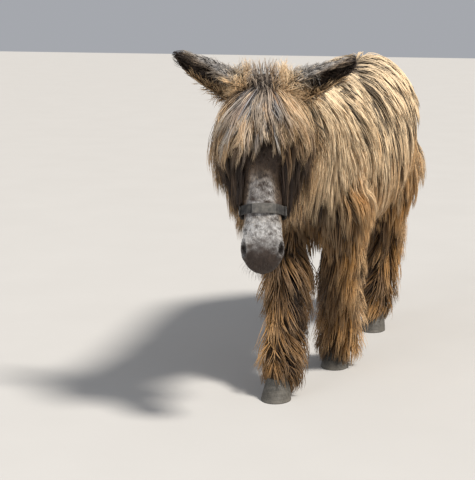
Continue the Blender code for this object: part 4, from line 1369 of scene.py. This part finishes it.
def build_hoof(pair, side):
    low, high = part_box(f"hoof_{pair}_{SIDE_NAMES[side]}")
    foot = Vector(((low.x + high.x) / 2, low.y + HOOF[1] / 2, 0))
    shares, *columns = zip(*HOOF_FORM)
    bm = bmesh.new()
    rings = []
    for level in range(HOOF_LEVELS):
        share = level / (HOOF_LEVELS - 1)
        long, wide, back = (float(np.interp(share, shares, column)) for column in columns)
        ringed = 1 + RING_SWELL * math.sin(share * RING_TURNS) * fade(share, 1.0, 0.9)
        verts = bmesh.ops.create_circle(bm, segments=HOOF_SIDES, radius=1)["verts"]
        for vert in verts:
            turn = math.atan2(vert.co.x, -vert.co.y)  # 0 at the toe, half a turn at the heels
            heel = hump(abs(turn), math.pi, HEEL_WIDE)
            narrow = 1 - 0.10 * fade(abs(turn), 1.6, 2.6)
            vert.co.x *= HOOF[0] / 2 * wide * ringed * narrow
            vert.co.y *= HOOF[1] / 2 * long * ringed * (1 - HEEL_CLEFT * heel)
        bmesh.ops.translate(bm, vec=foot + Vector((0, back, share * HOOF[2])), verts=verts)
        rings.append(verts)
    bridge(bm, rings, HOOF_SIDES)
    sole = [face for face in bm.faces if face.normal.z < -0.9 and len(face.verts) == HOOF_SIDES]
    bmesh.ops.inset_region(bm, faces=sole, thickness=0.009, depth=0)
    bmesh.ops.inset_region(bm, faces=sole, thickness=0.003, depth=-0.005)
    hoof = smooth_shaded(new_piece(f"horn_{pair}_{SIDE_NAMES[side]}", bm))
    hoof.data.set_sharp_from_angle(angle=math.radians(50))
    return hoof


hooves = {foot: build_hoof(*foot) for foot in FEET}
print("hooves:", [len(hoof.data.polygons) for hoof in hooves.values()])

# %% [markdown]
# ## The halter
# The halter is flat webbing, folded round metal rings and sewn down. The route of each strap is
# read from the measured solids: rays from inside the muzzle meet the strap's inner and outer face,
# and the middle of the two is a point of its middle line. A smooth curve through those points
# carries the woven band. The front of the noseband has a second layer sewn over it, in a paler
# webbing that is painted light on the lit front.

# %% The straps' routes
BAND_MIDDLE = -0.090  # the middle of the muzzle, where the rays start
BAND_DOWN = 0.470
WEB_WIDTH, WEB_THICK = 0.036, 0.0030
FOLD_LENGTH, FOLD_START = 0.030, 0.25
BAND_CLEAR = 0.0034  # from the skin to a strap's middle line
LOOK_FROM = 0.030  # how far outside a strap the ray down to the skin starts
HEADSTALL = (  # where each ray starts, and which way it goes; the other half is its mirror image
    ((0, BAND_MIDDLE, 0.437), (0.990, -0.139, 0)),
    ((0, BAND_MIDDLE, 0.418), (0.988, -0.155, 0)),
    ((0, BAND_MIDDLE, 0.395), (0.980, -0.200, 0)),
    ((0, BAND_MIDDLE, 0.350), (0.965, -0.260, 0)),
    ((0, BAND_MIDDLE, 0.280), (0.955, -0.300, 0)),
    ((0, BAND_MIDDLE, 0.200), (0.955, -0.300, 0)),
    ((0, -0.120, 0.120), (0.990, -0.140, 0)),
    ((0, -0.125, 0.070), (0.960, -0.100, -0.25)),
    ((0, -0.125, 0.050), (0.720, -0.080, -0.69)),
    ((0, -0.125, 0.050), (0.360, -0.080, -0.93)),
    ((0, -0.125, 0.050), (0.000, -0.080, -1.00)),
)


def rays_round(start, end, count=11):
    turns = np.radians(np.linspace(start, end, count))
    return [((0, BAND_MIDDLE, BAND_DOWN), (math.cos(t), math.sin(t), 0)) for t in turns]


def middle_line(node, rays):
    """Middle points of a strap's solid along rays told in the head's axes, with the ways out."""
    tree = tree_of(frame["nodes"][node])
    points, outward = [], []
    for origin, aim in rays:
        start, way = HEAD @ Vector(origin), (HEAD.to_3x3() @ Vector(aim)).normalized()
        inner = tree.ray_cast(start, way)[0]
        if inner is None:
            continue
        outer = tree.ray_cast(inner + way * 0.0004, way)[0] or inner
        points.append((inner + outer) / 2)
        outward.append(way)
    return points, outward


def smooth_line(values, count):
    """A cubic curve through the values, read at evenly spaced places."""
    values = np.array([value[:] for value in values])
    before = np.vstack([2 * values[0] - values[1], values, 2 * values[-1] - values[-2]])
    places = np.linspace(0, len(values) - 1.000001, count)
    index, share = places.astype(int), (places % 1)[:, None]
    a, b, c, d = (before[index + step] for step in range(4))
    return 0.5 * (2 * b + (c - a) * share + (2 * a - 5 * b + 4 * c - d) * share**2
                  + (3 * b - a - 3 * c + d) * share**3)


def raised_over_skin(points, outward):
    """Lifts a strap's middle line where the skin would show through it."""
    sunk = []
    for point, way in zip(points, outward):
        hit = skin_tree.ray_cast(Vector(point + way * LOOK_FROM), Vector(-way), 1.5 * LOOK_FROM)[3]
        sunk.append(0.0 if hit is None else max(LOOK_FROM + BAND_CLEAR - hit, 0.0))
    lift = np.convolve(np.pad(sunk, 6, mode="edge"), np.ones(13) / 13, mode="valid")
    return points + outward * np.maximum(lift, sunk)[:, None]


def travelled(points):
    """How far along a line each of its points is."""
    return np.concatenate([[0], np.cumsum(np.linalg.norm(np.diff(points, axis=0), axis=1))])


def folded(points, outward, rise):
    """Adds a turned-back end to both ends of a strap's middle line."""
    angles = np.linspace(FOLD_START, math.pi, 7)
    for _ in range(2):
        along, out = unit(points[-1] - points[-2]), outward[-1]
        ways = [along * math.sin(t) - out * math.cos(t) for t in angles]
        turn = [points[-1] + out * rise / 2 + way * rise / 2 for way in ways]
        count = int((travelled(points[::-1])[1:] < FOLD_LENGTH).sum())
        back = [points[-2 - i] + outward[-2 - i] * rise for i in range(count)]
        back_ways = [-outward[-2 - i] for i in range(count)]
        points = np.vstack([points, turn, back])[::-1]
        outward = np.vstack([outward, -np.array(ways), np.array(back_ways)])[::-1]
    return points, outward


band_front = middle_line("halter_noseband", rays_round(90, 90, 1))[0][0]
print("the noseband's front is", round((band_front - POLL).length, 3), "m from the poll")

# %% [markdown]
# ## Webbing
# A band is a loft of flat rounded rings along its route, with its ends folded back round the metal.
# Each stitch is a small squashed ball, set in rows across the folds.

# %% Bands and stitches
BAND_SIDES = 14
BAND_SQUARE, BAND_ROUND = 0.35, 0.7  # how square a band's edge and its faces are
STITCH = (0.0017, 0.00055)  # half length and half width of a stitch
STITCH_ROWS, STITCH_MARGIN = 9, 0.0035


def web_band(name, points, outward, width=WEB_WIDTH, thick=WEB_THICK):
    """A flat band with rounded edges along its middle line. Its weave attribute holds the way
    along it and across it, in metres."""
    bm = bmesh.new()
    rings = []
    for i, (point, out) in enumerate(zip(points, outward)):
        forward = Vector(points[min(i + 1, len(points) - 1)] - points[max(i - 1, 0)])
        verts = bmesh.ops.create_circle(bm, segments=BAND_SIDES, radius=1)["verts"]
        for vert in verts:
            vert.co.x = squared(vert.co.x, BAND_SQUARE) * width / 2
            vert.co.y = squared(vert.co.y, BAND_ROUND) * thick / 2
        bmesh.ops.transform(bm, matrix=turned_to(Vector(point), forward, Vector(out)), verts=verts)
        rings.append(verts)
    bridge(bm, rings, BAND_SIDES)
    angles = 2 * math.pi * np.arange(BAND_SIDES) / BAND_SIDES
    across_band = [-squared(value, BAND_SQUARE) * width / 2 for value in np.sin(angles).tolist()]
    band = smooth_shaded(new_piece(name, bm))
    store(band.data, "weave", np.repeat(travelled(points), BAND_SIDES), np.tile(across_band, len(points)))
    return band


def add_stitches(bm, points, outward, at, rise):
    """Rows of stitches across a band: at holds their places in metres from its start."""
    along = travelled(points)
    for place in at:
        spot, out, further = (
            Vector([float(np.interp(where, along, values[:, axis])) for axis in range(3)])
            for where, values in ((place, points), (place, outward), (place + 0.004, points)))
        turned = turned_to(spot, further - spot, out)
        shape = Matrix.Diagonal((STITCH[0], STITCH[1], STITCH[1], 1))
        for x in np.linspace(-0.5, 0.5, STITCH_ROWS) * (WEB_WIDTH - 2 * STITCH_MARGIN):
            placed = turned @ Matrix.Translation((x, rise, 0)) @ shape
            bmesh.ops.create_icosphere(bm, subdivisions=1, radius=1, matrix=placed)


def from_both_ends(places, length):
    return [*places, *(length - place for place in places[::-1])]


print("seams at both ends of a band of 0.2 m:", from_both_ends((0.01, 0.02), 0.2))

# %% [markdown]
# ## The halter's straps
# Each route is smoothed, laid on the skin and folded at both ends. The stitches of all straps are
# one piece.

# %% Straps
BAND_RISE = 0.0052  # from a band's middle to that of the end that is folded over it
STRAP_SINK = 0.0012
# A second band over the noseband's front, in a paler webbing: painted light on the lit front.
PAINTED_LIGHT_LAYER = (0.31, 0.66, 0.0028, 0.0375, 0.0022)  # first and last share, rise, width, thickness
FOLD_SEAMS, LAYER_SEAMS = (0.008, 0.013, 0.024), (0.005, 0.010)
stitches = bmesh.new()
straps = []
routes = {
    "noseband": rays_round(2, 178),
    "chin_strap": rays_round(-18, -162),
    "headstall": list(HEADSTALL) + [(origin, on_side(RIGHT, aim)) for origin, aim in HEADSTALL[-2::-1]],
}
for word, rays in routes.items():
    line, ways = middle_line(f"halter_{word}", rays)
    count = 12 * len(line)
    points, outward = smooth_line(line, count), unit(smooth_line(ways, count))
    points = raised_over_skin(points - outward * STRAP_SINK, outward)
    straps.append(web_band(f"webbing_{word}", *folded(points, outward, BAND_RISE)))
    total = travelled(points)[-1]
    add_stitches(stitches, points, outward, from_both_ends(FOLD_SEAMS, total), BAND_RISE + WEB_THICK / 2)
    print(word, "is", round(total, 3), "m long between its folds")
    if word == "noseband":
        first, last, rise, width, thick = PAINTED_LIGHT_LAYER
        part = slice(int(count * first), int(count * last))
        over = points[part] + outward[part] * rise
        straps.append(web_band("webbing_front", over, outward[part], width, thick))
        seams = from_both_ends(LAYER_SEAMS, travelled(over)[-1])
        add_stitches(stitches, over, outward[part], seams, 0.0012)
bmesh.ops.recalc_face_normals(stitches, faces=stitches.faces[:])
stitching = smooth_shaded(new_piece("stitching", stitches))
print("straps:", [len(strap.data.polygons) for strap in straps], "stitches:", len(stitching.data.polygons))

# %% [markdown]
# ## Rings
# Each ring is a round bar bent into a flat loop: circles set along the loop and bridged all the
# way round. The measured ring gives the middle, the plane and the size.

# %% Rings
RING_BAR, RING_SIDES, RING_STEPS = 0.0025, 12, 56
CHIN_TAB = (0.013, 0.0024, 0.0042)  # width, thickness, and radius of the loop round the chin ring
RING_SHAPES = {"left": ("halter_ring_left", 0.65), "right": ("halter_ring_right", 0.65),
               "chin": ("halter_chin_ring", 0.8)}  # the measured ring and its squareness


def build_ring(word, node, squareness):
    corners = corner_array(frame["nodes"][node].data)
    flat = Vector(np.linalg.svd(corners - corners.mean(axis=0))[2][2])
    long_way = HEAD.to_3x3() @ UP
    long_way = (long_way - flat * long_way.dot(flat)).normalized()
    place = turned_to(middle_of(node), flat, long_way)
    half_wide, half_long, _ = np.abs(in_axes(place, corners)).max(axis=0) - RING_BAR
    turns = [2 * math.pi * i / RING_STEPS for i in range(RING_STEPS)]
    points = [place @ Vector((squared(math.cos(turn), squareness) * half_wide,
                              squared(math.sin(turn), squareness) * half_long, 0)) for turn in turns]
    bm = bmesh.new()
    circles = []
    for i, point in enumerate(points):
        turned = turned_to(point, points[(i + 1) % RING_STEPS] - points[i - 1], place.to_3x3() @ UP)
        circle = bmesh.ops.create_circle(bm, segments=RING_SIDES, radius=RING_BAR, matrix=turned)
        circles.append(circle["verts"])
    bridge(bm, circles, closed=True)
    return smooth_shaded(new_piece(f"steel_ring_{word}", bm))


rings = {node: build_ring(word, node, squareness) for word, (node, squareness) in RING_SHAPES.items()}
chin_low, chin_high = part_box("halter_chin_ring")
loop_top = Vector(((chin_low.x + chin_high.x) / 2, (chin_low.y + chin_high.y) / 2, chin_high.z - RING_BAR))
chin_out = middle_line("halter_chin_strap", rays_round(-90, -90, 1))[1][0]
tab_width, tab_thick, tab_radius = CHIN_TAB
tab_ways = [UP * math.cos(turn) + chin_out.cross(Vector((1, 0, 0))) * math.sin(turn)
            for turn in np.linspace(0, 2 * math.pi, 25)]
tab_points = np.array([loop_top - way * tab_radius for way in tab_ways])
straps.append(web_band("webbing_chin_tab", tab_points, unit(tab_points - np.array(loop_top)),
                       tab_width, tab_thick))
print("rings:", [len(ring.data.polygons) for ring in rings.values()])

# %% [markdown]
# ## A small language for materials
# Node trees read best as sums. A Wire holds one socket, and adding or multiplying wires adds the
# maths nodes. A Look is one material, with short ways to add colours, noise and bumps.

# %% Wires and looks
class Wire:
    """A shader socket that takes part in sums, with numbers or with other wires."""

    def __init__(self, look, socket):
        self.look, self.socket = look, socket

    def maths(self, operation, first, second=0.0):
        return self.look.node("Math", {"operation": operation}, {0: first, 1: second})

    def __add__(self, other):
        return self.maths("ADD", self, other)

    def __radd__(self, other):
        return self.maths("ADD", other, self)

    def __sub__(self, other):
        return self.maths("SUBTRACT", self, other)

    def __rsub__(self, other):
        return self.maths("SUBTRACT", other, self)

    def __mul__(self, other):
        return self.maths("MULTIPLY", self, other)

    def __rmul__(self, other):
        return self.maths("MULTIPLY", other, self)

    def sine(self):
        return self.maths("SINE", self)

    def ramped(self, low, high):
        """0 below low, 1 above high, and smooth between. High may lie under low."""
        if high < low:
            return 1 - self.ramped(high, low)
        return self.look.node("MapRange", {"interpolation_type": "SMOOTHSTEP"}, {0: self, 1: low, 2: high})


class Look:
    """A material: its shader and short ways to feed it."""

    def __init__(self, name):
        self.material = bpy.data.materials.new(name)
        self.material.use_nodes = True
        self.tree = self.material.node_tree
        self.tree.nodes.clear()
        output = self.tree.nodes.new("ShaderNodeOutputMaterial")
        self.shader = self.tree.nodes.new("ShaderNodeBsdfPrincipled")
        self.tree.links.new(self.shader.outputs[0], output.inputs["Surface"])

    def feed(self, socket, value):
        if isinstance(value, Wire):
            self.tree.links.new(value.socket, socket)
        elif isinstance(value, tuple) and len(socket.default_value) == 4:
            socket.default_value = (*value, 1.0)
        else:
            socket.default_value = value

    def node(self, kind, settings=None, values=None, out=0):
        node = self.tree.nodes.new("ShaderNode" + kind)
        for key, value in (settings or {}).items():
            setattr(node, key, value)
        for key, value in (values or {}).items():
            self.feed(node.inputs[key], value)
        return Wire(self, node.outputs[out])

    def mixed(self, share, first, second):
        """A colour between two others. The colour sockets of a Mix node are 6, 7 and output 2."""
        return self.node("Mix", {"data_type": "RGBA"}, {"Factor": share, 6: first, 7: second}, out=2)

    def attribute(self, name):
        """The three channels of an attribute, as a list of wires."""
        colour = self.node("Attribute", {"attribute_name": name}, out="Color")
        return [self.node("SeparateColor", None, {0: colour}, out=i) for i in range(3)]

    def place(self, scale=(1, 1, 1)):
        return self.node("Mapping", None, {"Vector": self.node("TexCoord", out="Object"), "Scale": scale})

    def noise(self, scale, detail=3.0, where=None, roughness=0.55):
        values = {"Vector": where or self.place(), "Scale": scale, "Detail": detail, "Roughness": roughness}
        return self.node("TexNoise", None, values)

    def bump(self, height, distance, strength=1.0):
        return self.node("Bump", None, {"Height": height, "Distance": distance, "Strength": strength})

    def done(self, **sockets):
        for key, value in sockets.items():
            self.feed(self.shader.inputs[key.replace("_", " ")], value)
        return self.material


print("ready to make looks")

# %% [markdown]
# ## Coat and skin looks
# Both use the same palette and the same marks. On a lock, the root is nearly black and the tip has
# the full colour: painted shade deep in the coat, so that a deep coat shows dark gaps between bright
# strands. On the skin the fine grain of the nap shows where the hair is short, and elsewhere the
# skin stays dark.

# %% Hair and pelt
BLACKISH = (0.016, 0.009, 0.006)
DARK = (0.046, 0.031, 0.023)
GOLD = (0.58, 0.30, 0.09)
TAN = (0.88, 0.68, 0.44)
SLATE = (0.23, 0.215, 0.225)
ASH = (0.46, 0.45, 0.44)


def coat_colour(look, bleached=0.0):
    pale, grey, dark = look.attribute("marks")
    colour = look.mixed(pale, GOLD, TAN)
    colour = look.mixed(grey, colour, look.mixed(pale, SLATE, ASH))
    colour = look.mixed(bleached, colour, TAN)
    return look.mixed(dark, colour, DARK)


def hair_look():
    look = Look("hair")
    along, tone_and_shade, _ = look.attribute("strand")
    tip = coat_colour(look, along.ramped(0.45, 1.0) * 0.35)
    # The nearly black root is painted shade deep in the coat; the bleached tip is the hair's own colour.
    root = look.mixed(0.10, BLACKISH, tip)
    colour = look.mixed((along * 0.55 + tone_and_shade * 0.95).ramped(0.45, 1.05), root, tip)
    return look.done(Base_Color=colour, Roughness=0.48, Specular_IOR_Level=0.35)


def pelt_look():
    look = Look("pelt")
    short = look.attribute("short")[0]
    grain = look.noise(420.0, 2.0, look.place((1, 1, 0.25)), 0.7)
    colour = coat_colour(look)
    mottle = look.noise(75.0, 4.0, look.place((1, 1, 0.5)), 0.65)
    colour = look.mixed(mottle.ramped(0.60, 0.40) * 0.85, colour, look.mixed(0.6, colour, BLACKISH))
    colour = look.mixed(grain.ramped(0.30, 0.65), look.mixed(0.55, colour, BLACKISH), colour)
    colour = look.mixed(short, BLACKISH, colour)
    bump = look.bump(grain, 0.0012, 0.8)
    return look.done(Base_Color=colour, Roughness=0.6, Specular_IOR_Level=0.3, Normal=bump)


places = corner_array(skin.data)
words = region_of(places)
faced = in_axes(HEAD, places)
short = np.maximum((words == "head") * fade(faced[:, 2], 0.16, 0.28), np.char.startswith(words, "ear") * 0.7)
short *= fade(nearest(faced, CORNEAS), 0.0150, 0.0185)  # the lids' edges and the nostrils are black
# Painted shade inside the nostrils' openings: the skin there goes black.
short *= fade(points_to_nostrils(faced), 0.012, 0.022)
# Painted shade in the groove where the lips meet: the skin there goes black.
short *= 1 - 0.9 * hump(over_lip_line(faced), 0, 0.0035) * fade(faced[:, 2], 0.615, 0.630)
store(skin.data, "marks", *pattern(places, words).T)
store(skin.data, "short", short)
hair, pelt = hair_look(), pelt_look()
print("looks:", hair.name, pelt.name)

# %% [markdown]
# ## Eyes, horn, webbing and steel
# The eye is dark brown with a bluish black pupil under a clear, wet coat. Horn is grey with fine
# upright grain, growth rings and dry dust low down. The webbing is faded black nylon whose ribs
# come from sums of sines on its weave attribute, with painted shade between the ribs, and the
# rings are dull, scratched steel. A paler copy of the webbing on the noseband's front is painted
# light.

# %% Other looks
def eye_look():
    look = Look("eye")
    iris, pupil, _ = look.attribute("eye")
    streaks = look.noise(900.0, 3.0)
    brown = look.mixed(streaks.ramped(0.35, 0.7), (0.011, 0.006, 0.003), (0.038, 0.017, 0.007))
    colour = look.mixed(pupil.ramped(1.15, 0.85), brown, (0.004, 0.005, 0.008))
    colour = look.mixed(iris.ramped(0.92, 1.05), colour, (0.020, 0.013, 0.010))
    return look.done(Base_Color=colour, Roughness=0.35, Specular_IOR_Level=0.1, Coat_Weight=0.6,
                     Coat_Roughness=0.03)


def horn_look():
    look = Look("horn")
    height = look.node("SeparateXYZ", None, {0: look.node("TexCoord", out="Object")}, out=2)
    grain = look.noise(260.0, 4.0, look.place((1, 1, 0.06)))
    rings = (height * 900.0 + look.noise(14.0, 2.0) * 9.0).sine()
    colour = look.mixed(grain.ramped(0.35, 0.65), (0.030, 0.027, 0.022), (0.080, 0.072, 0.059))
    dust = look.noise(38.0, 5.0).ramped(0.38, 0.62) * 0.5 + height.ramped(0.035, 0.0) * 0.5
    colour = look.mixed(dust, colour, (0.105, 0.095, 0.079))
    rough = look.noise(60.0).ramped(0.2, 0.8) * 0.3 + 0.55
    bump = look.bump(grain * 0.6 + rings * 0.18, 0.0007)
    return look.done(Base_Color=colour, Roughness=rough, Normal=bump)


def webbing_look(name, dark, light):
    look = Look(name)
    along, across, _ = look.attribute("weave")
    rib = (along * 3140.0 + (across * 1570.0).sine() * 1.6).sine()
    selvage = (across * across * 3100.0).ramped(0.72, 0.95)
    wear = look.noise(55.0, 4.0).ramped(0.35, 0.7)
    colour = look.mixed(selvage * 0.5, look.mixed(wear, dark, light), light)
    # Painted shade in the grooves between the ribs.
    painted_shade_between_ribs = look.mixed(0.6, colour, (0.01, 0.01, 0.01))
    colour = look.mixed(rib.ramped(-1.0, 0.4) * 0.5 + 0.5, painted_shade_between_ribs, colour)
    bump = look.bump(rib, 0.0005)
    return look.done(Base_Color=colour, Roughness=0.8, Specular_IOR_Level=0.25, Normal=bump)


def thread_look():
    look = Look("thread")
    twist = look.noise(1500.0, 2.0)
    colour = look.mixed(twist, (0.10, 0.095, 0.09), (0.20, 0.19, 0.18))
    return look.done(Base_Color=colour, Roughness=0.7, Normal=look.bump(twist, 0.0002))


def steel_look():
    look = Look("steel")
    scratches = look.noise(300.0, 5.0, look.place((1, 1, 0.2)))
    colour = look.mixed(scratches.ramped(0.4, 0.7), (0.52, 0.50, 0.47), (0.36, 0.33, 0.29))
    rough = scratches.ramped(0.3, 0.75) * 0.25 + 0.25
    return look.done(Base_Color=colour, Metallic=1.0, Roughness=rough, Normal=look.bump(scratches, 0.0001))


webbing_black = webbing_look("webbing_dark", (0.035, 0.033, 0.032), (0.095, 0.088, 0.080))
# A paler copy of the webbing: painted light on the noseband's lit front.
webbing_faded = webbing_look("webbing_faded", (0.10, 0.095, 0.088), (0.20, 0.185, 0.165))
thread, steel, eye, horn = thread_look(), steel_look(), eye_look(), horn_look()
print("looks:", [look.name for look in (webbing_black, webbing_faded, thread, steel, eye, horn)])

# %% [markdown]
# ## What each piece belongs to
# Every piece is part of the one still body, and the detailed pieces take the place of the measured
# solids.

# %% Dress the donkey
dressed_names = []


def dressed(piece, look, slot, *nodes):
    dressed_names.append(piece.name)
    piece.data.materials.clear()
    piece.data.materials.append(look)
    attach(piece, ROOT)
    if nodes:
        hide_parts(*nodes)


dressed(skin, pelt, "coat", *FLESH_NODES)
for piece in coat_pieces:
    dressed(piece, hair, "dark_coat" if piece.name.endswith(("legs", "ears")) else "coat")
for side, ball in eyeballs.items():
    dressed(ball, eye, "eye", f"eye_{SIDE_NAMES[side]}")
for (pair, side), hoof in hooves.items():
    dressed(hoof, horn, "horn", f"hoof_{pair}_{SIDE_NAMES[side]}")
for strap in straps:
    word = strap.name.removeprefix("webbing_")
    nodes = [f"halter_{word}"] if word in routes else []
    dressed(strap, webbing_faded if word == "front" else webbing_black, "webbing", *nodes)
dressed(stitching, thread, "webbing")
for node, ring in rings.items():
    dressed(ring, steel, "steel", node)
print("dressed", len(dressed_names), "pieces")

# %% [markdown]
# ## Studio
# A plain pale floor runs out to a pale sky. The strong soft light stands high behind the donkey's
# left side, as a low sun would, and a broad weak one opens the shadows in front. The camera stands
# a little to the donkey's left at a person's eye height.

# %% Floor, lights and camera
scene = bpy.context.scene
scene.view_settings.view_transform = "Standard"

bm = bmesh.new()
bmesh.ops.create_grid(bm, x_segments=1, y_segments=1, size=30)
floor = new_piece("floor", bm)
ground = Look("floor")
floor.data.materials.append(ground.done(
    Base_Color=ground.mixed(ground.noise(2.0), (0.42, 0.41, 0.395), (0.45, 0.44, 0.425)), Roughness=0.9))

world = bpy.data.worlds.new("studio")
world.use_nodes = True
world.node_tree.nodes["Background"].inputs["Color"].default_value = (0.90, 0.93, 1.0, 1)
world.node_tree.nodes["Background"].inputs["Strength"].default_value = 0.42
scene.world = world


def light_at(name, kind, place, energy, colour, **settings):
    data = bpy.data.lights.new(name, kind)
    data.energy, data.color = energy, colour
    for key, value in settings.items():
        setattr(data, key, value)
    light = bpy.data.objects.new(name, data)
    light.location = place
    light.rotation_euler = (Vector((0, -0.2, 0.8)) - Vector(place)).to_track_quat("-Z", "Y").to_euler()
    scene.collection.objects.link(light)


light_at("sun_side", "SUN", (6.0, -1.2, 9.5), 5.2, (1.0, 0.95, 0.88), angle=math.radians(11))
light_at("front_fill", "AREA", (-4.0, -10.5, 5.0), 430, (0.9, 0.95, 1.0), size=6.0)

CAMERA_PLACE = Vector((1.376, -5.444, 1.61))  # in the standing axes
CAMERA_TURN = math.radians(19)
CAMERA_DROP = math.radians(10.99733)
camera = bpy.data.objects.new("camera", bpy.data.cameras.new("camera"))
scene.collection.objects.link(camera)
camera.location = CAMERA_PLACE + SHIFT
camera.rotation_euler = Euler((math.pi / 2 - CAMERA_DROP, 0, CAMERA_TURN))
camera.data.lens, camera.data.sensor_width = 92.6, 36
scene.camera = camera
print("camera at", camera.location[:])
